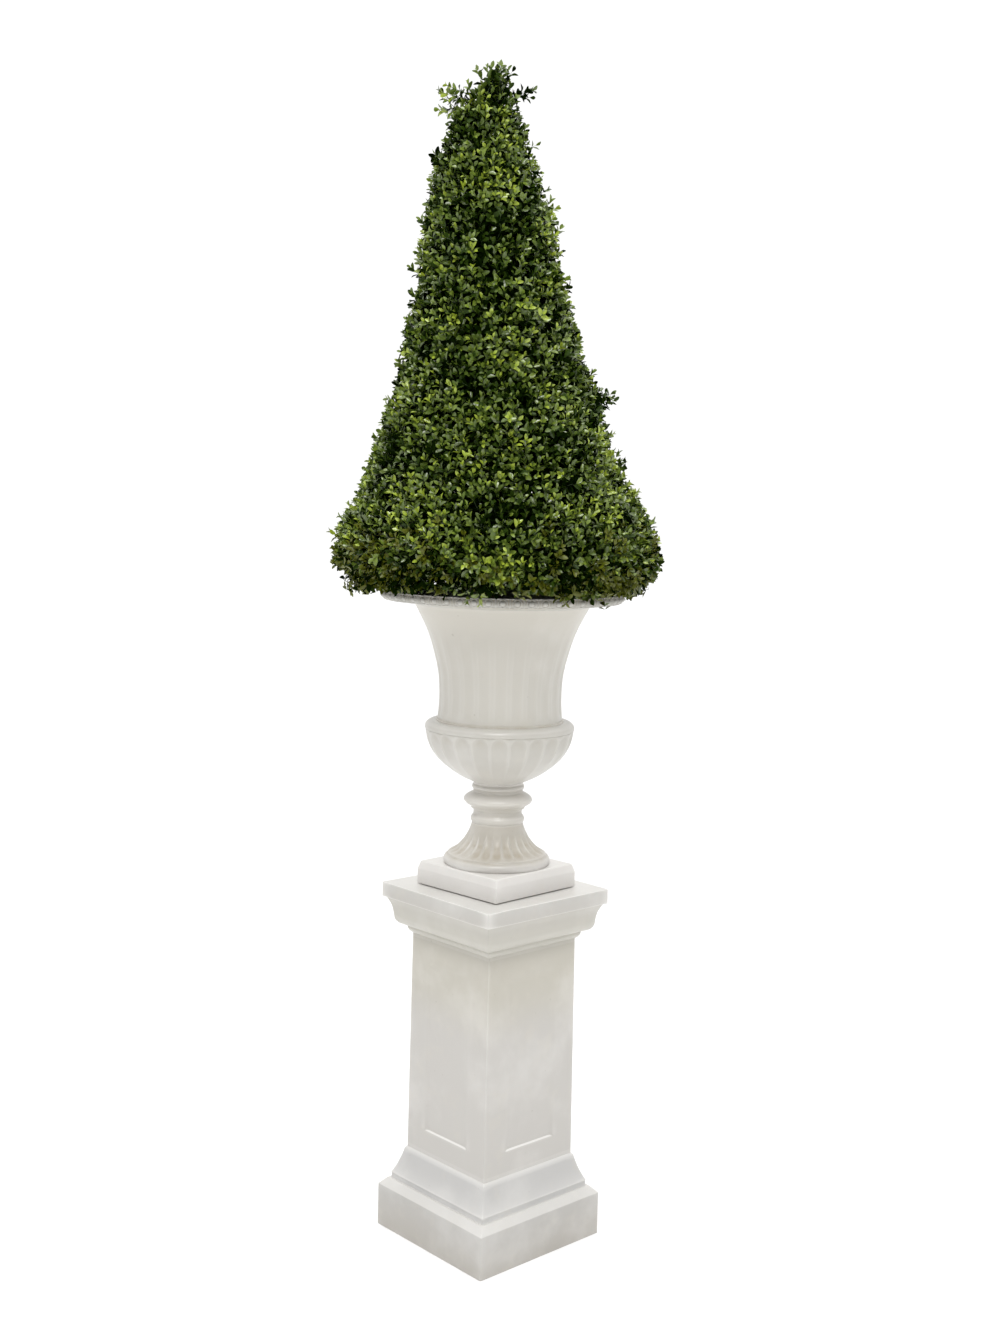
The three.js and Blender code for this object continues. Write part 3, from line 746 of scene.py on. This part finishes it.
crown = {
    "leanSide": 227.7,  # degrees round from +X
    "lean": 0.0453,
    "leanFrom": 1190,
    "top": 2505,
    "outline": [(298, 1458), (350, 1506), (367, 1555), (348, 1616), (302, 1700), (247, 1850),
                (187, 2050), (135, 2290), (92, 2460), (76, 2505)],
    "underside": [(272, 1479), (284, 1472)],  # from the urn's rim out to the lip
    "crest": [(58, 2514), (30, 2519), (4, 2521)],  # the flat top
    "swells": [(5, 3, 46, 1.1), (4, 5, -31, 2.3), (4, 9, 17, 0.7)],  # rise, number, pitch and start
    "calm": (1450, 0.55),  # from this height up they weaken, by this share at the top
    "lipWave": 8,
    "lipTop": (1506, 1458),
}

masses = {
    "foliage_skirt": 1622,
    "foliage_lower": 1830,
    "foliage_middle": 2080,
    "foliage_upper": 2320,
    "foliage_tip": 2505,
}

tufts = {
    "left": {"place": (-62, -6, 2540), "half": (40, 31, 23), "aim": (-0.9, 0, 0.3), "spread": 66, "count": 4},
    "middle": {"place": (30, -8, 2574), "half": (38, 36, 27), "aim": (0.1, 0, 1), "spread": 75, "count": 7},
    "right": {"place": (76, 2, 2545), "half": (31, 28, 20), "aim": (1, 0, 0.05), "spread": 35, "count": 3},
    "back": {"place": (8, 62, 2542), "half": (36, 34, 24), "aim": (0.1, 0.8, 0.5), "spread": 65, "count": 6},
}

sideSprig = {"place": (242, -14, 1888), "half": (37, 38, 33), "aim": (0.5, 0, 0.85), "spread": 56, "count": 6}

crest = {
    "sprigs": 32,  # upright ones that carry the cone on above its flat top
    "right": 22,
    "half": (58, 54),
    "top": 2582,
    "dome": 66,  # how much lower the outer ones end
    "uneven": (-14, 4),
    "foot": 2462,
    "gather": 0.7,  # how close together they start
}

# single sprigs: the place of the tip and the way it points
strays = [
    ((-102, -12, 2503), (-1, 0, 0.15)),
    ((-94, -20, 2494), (-1, -0.1, 0)),
    ((-92, -20, 2537), (-1, -0.1, 0.25)),
    ((-36, -16, 2558), (-0.35, 0, 1)),
    ((-13, -10, 2590), (-0.1, 0, 1)),
    ((28, -16, 2590), (0.15, -0.1, 1)),
    ((62, -6, 2590), (0.5, 0, 0.9)),
    ((106, -12, 2546), (1, -0.1, -0.1)),
    ((111, -16, 2434), (0.8, -0.1, 0.6)),
    ((-60, -290, 1466), (0, -0.5, -0.8)),
    ((-34, -292, 1464), (0.2, -0.5, -0.8)),
    ((138, -284, 1468), (0, -0.5, -0.8)),
    ((126, -286, 1476), (-0.4, -0.6, -0.5)),
]

leanSide = math.radians(crown["leanSide"])
rightward = Vector((-math.cos(leanSide), -math.sin(leanSide), 0))
backward = Vector((-rightward.y, rightward.x, 0))
goldenTurn = 2.39996  # radians

crownCurve = np.vstack([crown["underside"], splineThrough(crown["outline"], 12), crown["crest"]])
curveLength = np.concatenate([[0], np.cumsum(np.linalg.norm(np.diff(crownCurve, axis=0), axis=1))])


def axisAt(height):
    shift = -crown["lean"] * (height - crown["leanFrom"])
    return rightward * shift


def unevenness(angle, height):
    # how far the clipped surface swells or sinks
    waves = [rise * math.sin(n * angle + height / pitch + at) for rise, n, pitch, at in crown["swells"]]
    low, calm = crown["calm"]
    return (1 - calm * (height - low) / (crown["top"] - low)) * sum(waves)


def outlineAt(along):
    # the crown's radius and height, a length up its outline
    return [np.interp(along, curveLength, crownCurve[:, i]) for i in (0, 1)]


def crownSurface(angle, along):
    # a point on the crown and the way out of it, from an angle and a length up its outline
    radius, height = outlineAt(along)
    ahead, behind = outlineAt(along + 12), outlineAt(along - 12)
    slope = Vector((ahead[1] - behind[1], behind[0] - ahead[0])).normalized()
    side = Vector((math.cos(angle), math.sin(angle), 0))
    swell = unevenness(angle, height) * min(1, radius / 60)
    lip = crown["lipWave"] * (1 - math.cos(2 * (angle - leanSide)))
    lift = lip * ramp(height, *crown["lipTop"])
    point = axisAt(height) + side * (radius + swell) + Vector((0, 0, height + lift))
    return point, (side * slope.x + Vector((0, 0, slope.y))).normalized()


growth = {
    "seed": 41,
    "gap": 19.6,  # room for one sprig
    "whole": 1.42,  # a patch under this many gaps holds one sprig
    "boughSpan": 175,  # the patch that one main bough serves
    "boughReach": 0.82,
    "tierTurn": 2.4,  # radians from one tier of boughs to the next
    "climb": 0.45,  # how far boughs rise on their way out
    "clear": (12, 25),  # how far their feet stay over the urn's rim and under the crown's top
    "feet": (-15, 15),  # how unevenly they leave the stem
    "sprigDepth": 40,
    "depthRatio": 0.62,  # how much deeper a limb forks for each unit of its patch
    "deepest": (0.3, 20),  # a share of the way in to the stem, and a little more
    "wander": 0.05,
    "lift": 0.12,
    "jitter": 0.16,
    "limbRadius": 0.85,
    "taper": (1.15, 0.85),
    "pipe": 0.5,  # limbs thicken with their load to this power
}

rng = np.random.default_rng(growth["seed"])

# limbs as start, end, and radius at both, and sprigs as stem, tip, way out and whether they are
# on the clipped cone, all in millimetres
boughs, leaders, limbs, sprigs = [], [], [], []


def serve(patch, stem, level=0):
    # the branching rule: a limb reaches under the middle of its patch of the crown's surface, the
    # patch splits across its longer side, and each half gets a limb of its own, down to one sprig
    (a0, a1), (s0, s1) = patch
    angle, along = (a0 + a1) / 2, (s0 + s1) / 2
    # a chord is no measure of a patch that goes half the way round, so such a one counts as wide
    wide = (crownSurface(a1, along)[0] - crownSurface(a0, along)[0]).length if a1 - a0 < 3 else 999
    tall = (crownSurface(angle, s1)[0] - crownSurface(angle, s0)[0]).length
    span = math.sqrt(max(wide, 1) * max(tall, 1))
    point, out = crownSurface(angle, along)
    if max(wide, tall) < growth["gap"] * growth["whole"]:
        sprigs.append((*stem, *point, *out, 1))
        return
    depth = growth["sprigDepth"] + growth["depthRatio"] * span
    if level:
        share, more = growth["deepest"]
        depth = min(depth, share * (point - axisAt(point.z)).to_2d().length + more)
    node = point - out * depth + Vector(rng.normal(0, 1, 3)) * span * growth["wander"]
    node.z += growth["lift"] * depth
    if not level:
        node = stem + (node - stem) * growth["boughReach"]
    radius = growth["limbRadius"] * max(1.0, (span / growth["gap"]) ** 2) ** (growth["pipe"] / 2)
    (limbs if level else boughs).append((*stem, *node, *(radius * end for end in growth["taper"])))
    share = 0.5 + rng.uniform(-1, 1) * growth["jitter"]
    if wide > tall:
        cut = a0 + (a1 - a0) * share
        halves = [((a0, cut), (s0, s1)), ((cut, a1), (s0, s1))]
    else:
        cut = s0 + (s1 - s0) * share
        halves = [((a0, a1), (s0, cut)), ((a0, a1), (cut, s1))]
    for half in halves:
        serve(half, node, level + 1)


def growCone():
    seams = [0.0, *np.interp(list(masses.values()), crownCurve[2:-3, 1], curveLength[2:-3])]
    seams[-1] = curveLength[-1]
    turn = 0.0
    overRim, underTop = growth["clear"]
    for s0, s1 in zip(seams, seams[1:]):
        tiers = max(1, round((s1 - s0) / growth["boughSpan"]))
        for tier in range(tiers):
            low, high = (s0 + (s1 - s0) * i / tiers for i in (tier, tier + 1))
            radius, height = outlineAt((low + high) / 2)
            count = max(3, round(tau * radius / growth["boughSpan"]))
            turn += growth["tierTurn"]
            for i in range(count):
                foot = max(urn["rimTop"] + overRim, height - growth["climb"] * radius)
                foot += rng.uniform(*growth["feet"])
                stem = fromAxis(0, 0, min(foot, crown["top"] - underTop))
                serve(((turn + tau * i / count, turn + tau * (i + 1) / count), (low, high)), stem)


def fromFrame(way):
    # a direction given to the right of the lean, behind it and up
    return rightward * way[0] + backward * way[1] + Vector((0, 0, way[2]))


def fromAxis(right, back, height):
    return axisAt(height) + fromFrame((right, back, height))


spray = {
    "radii": (2.2, 1.2),  # of the leader
    "fork": 0.55,  # how far back in the tuft's room it ends
    "turns": (-0.3, 0.3),
    "reach": (0.88, 1.0),
    "alongLeader": (0.1, 0.9),  # where sprigs leave it
}


def growTuft(tuft, root, kind):
    # a spray: sprigs fan out from along one leader, to the edge of the tuft's room
    centre = fromAxis(*tuft["place"])
    axis = fromFrame(tuft["aim"]).normalized()
    fork = centre - fromFrame([h * a for h, a in zip(tuft["half"], tuft["aim"])]) * spray["fork"]
    kind.append((*root, *fork, *spray["radii"]))
    side = axis.orthogonal().normalized()
    over = axis.cross(side)
    for i in range(tuft["count"]):
        turn = i * goldenTurn + rng.uniform(*spray["turns"])
        lean = math.radians(tuft["spread"]) * math.sqrt((i + 0.3) / tuft["count"])
        way = axis * math.cos(lean) + (side * math.cos(turn) + over * math.sin(turn)) * math.sin(lean)
        local = [way.dot(rightward), way.dot(backward), way.z]
        reach = 1 / math.sqrt(sum((c / h) ** 2 for c, h in zip(local, tuft["half"])))
        point = centre + way * reach * rng.uniform(*spray["reach"])
        start = root.lerp(fork, rng.uniform(*spray["alongLeader"]))
        sprigs.append((*start, *point, *(point - start).normalized(), 0))


def growCrest():
    for i in range(crest["sprigs"]):
        turn = i * goldenTurn
        reach = math.sqrt((i + 0.5) / crest["sprigs"])
        right, back = [h * reach * t for h, t in zip(crest["half"], (math.cos(turn), math.sin(turn)))]
        height = crest["top"] - crest["dome"] * reach ** 2 + rng.uniform(*crest["uneven"])
        point = fromAxis(crest["right"] + right, back, height)
        start = fromAxis(crest["gather"] * right, crest["gather"] * back, crest["foot"])
        sprigs.append((*start, *point, *(point - start).normalized(), 0))


def growAll():
    growCone()
    top = axisAt(crown["top"]) + Vector((0, 0, crown["top"] - 6))
    for tuft in tufts.values():
        growTuft(tuft, top, leaders)
    centre = fromAxis(*sideSprig["place"])
    root = centre.lerp(axisAt(centre.z) + Vector((0, 0, centre.z - 40)), 0.26)
    growTuft(sideSprig, root, limbs)
    growCrest()
    for place, aim in strays:
        point = fromAxis(*place)
        way = fromFrame(aim).normalized()
        start = point - way * 50 + (axisAt(point.z) + Vector((0, 0, point.z + 30)) - point) * 0.12
        sprigs.append((*start, *point, *way, 0))


growAll()
print("grown:", len(boughs), "boughs,", len(limbs), "limbs,", len(sprigs), "sprigs")


def frameOf(ways):
    # two directions square to each way
    helper = np.where(abs(ways[:, 2:]) < 0.9, np.array([[0.0, 0.0, 1.0]]), np.array([[1.0, 0.0, 0.0]]))
    first = unit(np.cross(helper, ways))
    return first, np.cross(ways, first)


def tubes(centres, radii, sides):
    # closed tubes along paths: centres is (tubes, rings, 3) and radii is (tubes, rings)
    count, rings = radii.shape
    first, second = frameOf(unit(centres[:, -1] - centres[:, 0]))
    angles = (np.arange(sides) * tau / sides)[None, None, :, None]
    circle = first[:, None, None] * np.cos(angles) + second[:, None, None] * np.sin(angles)
    points = centres[:, :, None] + circle * radii[:, :, None, None]
    points = np.concatenate([points.reshape(count, rings * sides, 3), centres[:, [0, -1]]], axis=1)
    foot, tip, last = rings * sides, rings * sides + 1, (rings - 1) * sides
    faces = []
    for i in range(sides):
        ahead = (i + 1) % sides
        faces += [(foot, ahead, i), (tip, last + i, last + ahead)]
        for low in range(0, last, sides):
            a, b = low + i, low + ahead
            faces += [(a, b, b + sides), (a, b + sides, a + sides)]
    offsets = np.arange(count)[:, None, None] * (rings * sides + 2)
    return newMesh(points.reshape(-1, 3), (np.array(faces)[None] + offsets).reshape(-1, 3).tolist())


trunk = {
    "flareRadius": 24,
    "flareHeight": 45,
    "footRadius": 17,
    "topRadius": 9,
    "sides": 28,
    "rows": 190,
    "relief": 1.5,
}


def trunkRadius(height):
    rise = height - urn["fillTop"]
    length = crown["top"] - urn["fillTop"]
    plain = trunk["footRadius"] + (trunk["topRadius"] - trunk["footRadius"]) * rise / length
    return plain + (trunk["flareRadius"] - trunk["footRadius"]) * max(0, 1 - rise / trunk["flareHeight"]) ** 2


def trunkRings():
    rings = []
    for height in np.linspace(urn["fillTop"], crown["top"], trunk["rows"]):
        axis = axisAt(height)
        ring = []
        for i in range(trunk["sides"]):
            angle = tau * i / trunk["sides"]
            way = Vector((math.cos(angle), math.sin(angle), 0))
            ridge = noise.noise(Vector((way.x * 2.2, way.y * 2.2, height / 60)))
            crack = abs(noise.noise(Vector((way.x * 4, way.y * 4, height / 26 + 7))))
            radius = trunkRadius(height) - 0.9 + trunk["relief"] * (0.7 * ridge - 0.9 * crack)
            ring.append(axis + way * radius + Vector((0, 0, height)))
        rings.append(ring)
    return np.array(rings)


def barkMaterial(name, light, dark, scale):
    recipe = Recipe(name, Roughness=0.85)
    strip = recipe.noise(scale, 5, 0.65, squash=(3, 3, 0.35))
    fine = recipe.noise(scale * 5, 4, 0.6)
    colour = recipe.mix(recipe.between(strip * 0.7 + fine * 0.3, 0.35, 0.65), paint(*dark), paint(*light))
    return recipe.finish(Base_Color=colour, Normal=recipe.bump(strip + fine * 0.3, 0.7, 0.002))


def bentLimbs(name, rows, sag, rings, sides, material, nodes):
    # limbs bowed sideways or down by a share of their length
    rows = np.array(rows)
    start, end = rows[:, :3], rows[:, 3:6]
    bow = sag * np.linalg.norm(end - start, axis=1)[:, None]
    t = np.linspace(0, 1, rings)[None]
    radii = rows[:, 6:7] * (1 - t) + rows[:, 7:8] * t
    t = t[:, :, None]
    paths = start[:, None] * (1 - t) + end[:, None] * t + bow[:, None] * (4 * t * (1 - t))
    keep(name, tubes(paths, radii, sides), material, nodes)


def makeTrunk():
    bark = barkMaterial("stem_bark", (112, 96, 70), (52, 42, 30), 55.0)
    keep("trunk_bark", skin(trunkRings()), bark, ["trunk"])
    bentLimbs("bough_bark", boughs, np.array([[0, 0, -0.06]]), 7, 8, bark, list(masses))


def makeLimbs():
    plastic = barkMaterial("limb_plastic", (44, 50, 34), (20, 26, 20), 90.0)
    sag = rng.normal(0, 0.04, (len(limbs), 3))
    bentLimbs("limbs", limbs, sag, 3, 3, plastic, list(masses))
    bluish = barkMaterial("leader_plastic", (52, 64, 62), (26, 34, 36), 90.0)
    sag = rng.normal(0, 0.06, (len(leaders), 3))
    nodes = ["leader_stem_" + name for name in tufts]
    bentLimbs("leader_stems", leaders, sag, 9, 8, bluish, nodes)


makeTrunk()
makeLimbs()
print("trunk and limbs are on")


sprig = {
    "pairs": 5,
    "loosePairs": 7,  # on the sprays that stand clear of the cone
    "pairGap": 8.2,
    "looseGap": 10.5,
    "looseSize": 1.02,
    "stemRadius": 0.75,
    "stemTaper": (1.1, 1.0, 0.8, 0.4),
    "upward": 0.62,
    "level": 0.65,  # how much the ones under the lip level out
    "scatter": 0.42,
    "inset": 8.0,  # how far the tips stay inside the crown's outline
    "underInset": 18.0,  # more under its lip
    "underReach": (265, 325),
    "sideInset": 12.0,  # and on the side that it leans to, below a height
    "sideTop": (2230, 2110),
    "topInset": 7.0,  # near the top
    "topFrom": (2380, 2440),
    "proud": 4.5,  # how unevenly they end
    "jutShare": 0.09,
    "jut": (6, 17),
    "firstPair": 1.5,  # how far under the tip
    "gapScatter": (0.9, 1.1),
    "spinScatter": 0.16,
    "leafLengths": (14.0, 18.5, 20.0, 20.0, 18.5),  # from the tip's pair down
    "leafSizes": (0.82, 1.14),
    "leafAngles": (26, 42, 54, 60, 66),
    "angleScatter": 9,
    "tones": (0.85, 0.3, -0.55, -1.2, -1.7),  # how bright each pair is
    "looseTones": 0.8,  # how much of that difference loose sprays show
    "oliveLeaves": 0.8,  # share of them in an olive spray
    "toneScatter": 0.4,
    "toneSteps": (-1.0, -0.25, 0.6, 1.5),
}

leafKinds = {
    # the deep kind's near-black colour is partly painted shade, for leaves deep inside the crown
    "deep": {"colour": (14, 26, 3), "gloss": 0.5, "shine": 0.0},
    "dark": {"colour": (40, 58, 8), "gloss": 0.4, "shine": 0.15},
    "mid": {"colour": (76, 94, 28), "gloss": 0.33, "shine": 0.75},
    "fresh": {"colour": (105, 124, 40), "gloss": 0.33, "shine": 0.9},
    "tip": {"colour": (146, 163, 50), "gloss": 0.35, "shine": 0.85},
    "olive": {"colour": (84, 90, 12), "gloss": 0.4, "shine": 0.35},
}
kindNames = list(leafKinds)
leafyNodes = [*masses, "foliage_side_sprig", *("foliage_tuft_" + name for name in tufts)]


leaf = {
    "width": 0.5,  # as a share of the length
    "widths": (0.88, 1.12),
    "side": [(0.2, 0.14), (0.43, 0.38), (0.5, 0.6), (0.31, 0.86)],  # half width and place along the rib
    "rib": 0.55,
    "cup": 0.13,
    "curl": (0.02, 0.2),
    "twist": 0.3,
    "mostFaces": 190000,  # in one piece
}


def offAxis(points):
    # how far points lie from the stem's axis, sideways
    return (points - np.array([axisAt(height) for height in points[:, 2]])) * (1, 1, 0)


def layOutSprigs():
    # where each sprig starts, which way it grows, how long it is and how many pairs it carries
    rows = np.array(sprigs)
    roots, points, out, onCone = rows[:, :3], rows[:, 3:6], rows[:, 6:9], rows[:, 9] > 0
    count, height = len(rows), points[:, 2]
    under = ramp(out[:, 2], -0.4, -0.9) * onCone
    ways = out.copy()
    ways[:, 2] *= 1 - sprig["level"] * under
    ways[:, 2] += np.clip(out[:, 2] + 0.35, -0.05, 1) * sprig["upward"] * onCone
    ways = unit(ways + rng.normal(0, sprig["scatter"], (count, 3)) * np.where(onCone, 1, 0.5)[:, None])
    proud = rng.normal(0, sprig["proud"], count)
    proud += (rng.random(count) < sprig["jutShare"]) * (under < 0.1) * rng.uniform(*sprig["jut"], count)
    toLeft = np.clip(-out @ np.array(rightward), 0, 1) * ramp(height, *sprig["sideTop"])
    outer = ramp(np.linalg.norm(offAxis(points), axis=1), *sprig["underReach"])
    inset = sprig["inset"] + sprig["sideInset"] * toLeft
    inset += sprig["underInset"] * under * np.maximum(outer, 0.5)
    inset += sprig["topInset"] * ramp(height, *sprig["topFrom"])
    proud = np.where(onCone, proud * (1 - 0.7 * under) - inset, -3)
    tips = points + out * proud[:, None] + frameOf(out)[0] * rng.normal(0, 3, (count, 1))
    pairs = np.where(onCone, sprig["pairs"], sprig["loosePairs"])
    gap = np.where(onCone, sprig["pairGap"], sprig["looseGap"])
    length = np.minimum(pairs * gap, np.linalg.norm(tips - roots, axis=1) * 0.9 + 6)
    return roots, tips - ways * length[:, None], tips, ways, length, pairs, gap


shades = {
    "patches": [(1.7, 95), (0.8, 30)],  # strength and size
    "scatter": 0.5,
    "loose": (0.2, 1.2),  # painted light: brighter loose sprays, and more so over the rim, where they hang in shade
    "skirt": (1640, 1490),  # heights over which the crown turns into its skirt
    "paintedSkirtShade": (1.65, 0.8),  # painted shade: how much darker that is on its left, and elsewhere
    "leftOf": -100,
    "bands": [(1500, 1470, 1.2), (1850, 1770, 0.3), (2380, 2440, -0.2)],  # from, to and how much brighter; the first is painted light on the shaded sprays under the lip
    "corner": 215,  # further out the skirt is mostly olive
    "olive": (0.9, 0.38),
}


def dealTones(tips, loose):
    # each spray gets a tone, patchy over the crown, and some at its lower corners are olive; the tones also
    # hold painted light and shade: darker on the skirt, most on its left, and brighter under the lip and on
    # loose sprays
    height = tips[:, 2]
    patches = [[k * noise.noise(Vector(tip) / size) for k, size in shades["patches"]] for tip in tips]
    low = ramp(height, *shades["skirt"])
    always, lowDown = shades["loose"]
    tone = np.sum(patches, axis=1) + rng.normal(0, shades["scatter"], len(tips))
    tone += loose * (always + lowDown * low)
    right = offAxis(tips) @ np.array(rightward)
    tone -= low * np.where(right < shades["leftOf"], *shades["paintedSkirtShade"])
    for start, end, change in shades["bands"]:
        tone += change * ramp(height, start, end)
    return tone, rng.random(len(tips)) < low * np.where(abs(right) > shades["corner"], *shades["olive"])


def makeSprigs():
    roots, bases, tips, ways, length, pairs, gap = layOutSprigs()
    count, loose = len(tips), pairs > sprig["pairs"]
    tone, olive = dealTones(tips, loose)
    paths = np.stack([roots, 0.15 * roots + 0.85 * bases, (bases + tips) / 2, tips], axis=1)
    radii = np.tile(sprig["stemRadius"] * np.array(sprig["stemTaper"]), (count, 1))
    plastic = barkMaterial("sprig_plastic", (58, 76, 36), (28, 40, 28), 140.0)
    keep("sprig_stems", tubes(paths, radii, 3), plastic, leafyNodes)

    first, second = frameOf(ways)
    spin = rng.uniform(0, tau, count)
    leaves = []
    for pair in range(sprig["loosePairs"]):
        down = sprig["firstPair"] + pair * gap * rng.uniform(*sprig["gapScatter"], count)
        there = (down < length * 1.02) & (pair < pairs)
        place = min(pair, sprig["pairs"] - 1)
        shade = tone + np.where(loose, sprig["looseTones"], 1) * sprig["tones"][place]
        for side in (0, 1):
            angle = spin + pair * tau / 4 + side * tau / 2 + rng.normal(0, sprig["spinScatter"], count)
            angle = angle[:, None]
            outward = first * np.cos(angle) + second * np.sin(angle)
            spread = rng.normal(0, sprig["angleScatter"], count)
            spread = np.radians(sprig["leafAngles"][place] + spread)[:, None]
            way = ways * np.cos(spread) + outward * np.sin(spread)
            face = ways * np.sin(spread) - outward * np.cos(spread)
            size = sprig["leafLengths"][place] * rng.uniform(*sprig["leafSizes"], count)
            size *= np.where(loose, sprig["looseSize"], 1)
            kind = np.digitize(shade + rng.normal(0, sprig["toneScatter"], count), sprig["toneSteps"])
            turned = olive & (rng.random(count) < sprig["oliveLeaves"])
            kind = np.where(turned, kindNames.index("olive"), kind)
            columns = (tips - ways * down[:, None], way, face, size, kind)
            leaves.append([column[there] for column in columns])
    leaves.append(innerLeaves(bases[~loose]))
    makeLeaves(*(np.concatenate(column) for column in zip(*leaves)))


inner = {
    "perLimb": 2,
    "alongLimb": (0.4, 1.0),
    "perSprig": 2,
    "scatter": 5,
    "size": (22, 29),
    "thickest": 3.2,
    "turn": 0.35,
    "uprightBelow": 1540,
    "cover": 20,  # how far inside the crown's outline they stay
    "lowest": 1482,
}


def innerLeaves(bases):
    # old dark leaves round the feet of the sprigs and along the thin limbs, which close the
    # view through the crown; their near-black colour is partly painted shade, for the shade deep inside it
    thin = np.array(limbs)
    thin = thin[thin[:, 6] < inner["thickest"]]
    share = rng.uniform(*inner["alongLimb"], (len(thin) * inner["perLimb"], 1))
    thin = np.repeat(thin, inner["perLimb"], axis=0)
    onSprigs = np.repeat(bases, inner["perSprig"], axis=0)
    onSprigs = onSprigs + rng.normal(0, inner["scatter"], onSprigs.shape)
    base = np.vstack([thin[:, :3] * (1 - share) + thin[:, 3:6] * share, onSprigs])
    away = offAxis(base)
    room = np.interp(base[:, 2], crownCurve[2:, 1], crownCurve[2:, 0]) - inner["cover"]
    hidden = (np.linalg.norm(away, axis=1) < room) & (base[:, 2] > inner["lowest"])
    base, away = base[hidden], away[hidden]
    face = unit(unit(away) + rng.normal(0, inner["turn"], base.shape))
    way = unit(np.cross(face, rng.normal(0, 1, base.shape)))
    way *= np.where((way[:, 2:] < 0) & (base[:, 2:] < inner["uprightBelow"]), -1, 1)
    return [base, way, face, rng.uniform(*inner["size"], len(base)), np.zeros(len(base), int)]


def leafMaterial(kind):
    look = leafKinds[kind]
    recipe = Recipe("leaf_" + kind)
    recipe.feed(recipe.shader, {"Specular IOR Level": look["shine"]})
    base = np.array(paint(*look["colour"])[:3])
    darker, lighter = (*(base * 0.8), 1.0), (*(base * 1.22), 1.0)
    mottle = recipe.noise(60.0, 3, 0.6)
    colour = recipe.mix(recipe.between(mottle, 0.3, 0.7), darker, lighter)
    rough = look["gloss"] - 0.06 + 0.12 * mottle
    return recipe.finish(Base_Color=colour, Roughness=rough, Normal=recipe.bump(mottle, 0.2, 0.0008))


def makeLeaves(base, way, face, size, kind):
    count = len(base)
    twist = rng.normal(0, leaf["twist"], count)[:, None]
    side = np.cross(way, face)
    across = side * np.cos(twist) + face * np.sin(twist)
    face = face * np.cos(twist) - side * np.sin(twist)
    curl = rng.uniform(*leaf["curl"], count)
    width = size * leaf["width"] * rng.uniform(*leaf["widths"], count)
    outline = [(0.0, 0.0), *leaf["side"], (0.0, 1.0), *((-x, y) for x, y in leaf["side"][::-1])]
    corners = [*outline, (0.0, leaf["rib"])]
    points = np.empty((count, len(corners), 3))
    for i, (x, y) in enumerate(corners):
        rise = (leaf["cup"] * (x * 2) ** 2 - curl * y * y) * size
        points[:, i] = base + across * (x * width)[:, None] + way * (y * size)[:, None] + face * rise[:, None]
    ring = len(outline)
    fan = np.array([(ring, i, (i + 1) % ring) for i in range(ring)])
    for number, name in enumerate(kindNames):
        chosen = np.flatnonzero(kind == number)
        material = leafMaterial(name)
        parts = max(1, math.ceil(len(chosen) * ring / leaf["mostFaces"]))
        for part, some in enumerate(np.array_split(chosen, parts)):
            faces = (fan[None] + np.arange(len(some))[:, None, None] * len(corners)).reshape(-1, 3)
            label = "leaves_" + name + ("_" + str(part + 1) if parts > 1 else "")
            leaves = newMesh(points[some].reshape(-1, 3), faces.tolist())
            keep(label, leaves, material, leafyNodes)
            print(label, len(faces))


makeSprigs()
print("leaves are on")
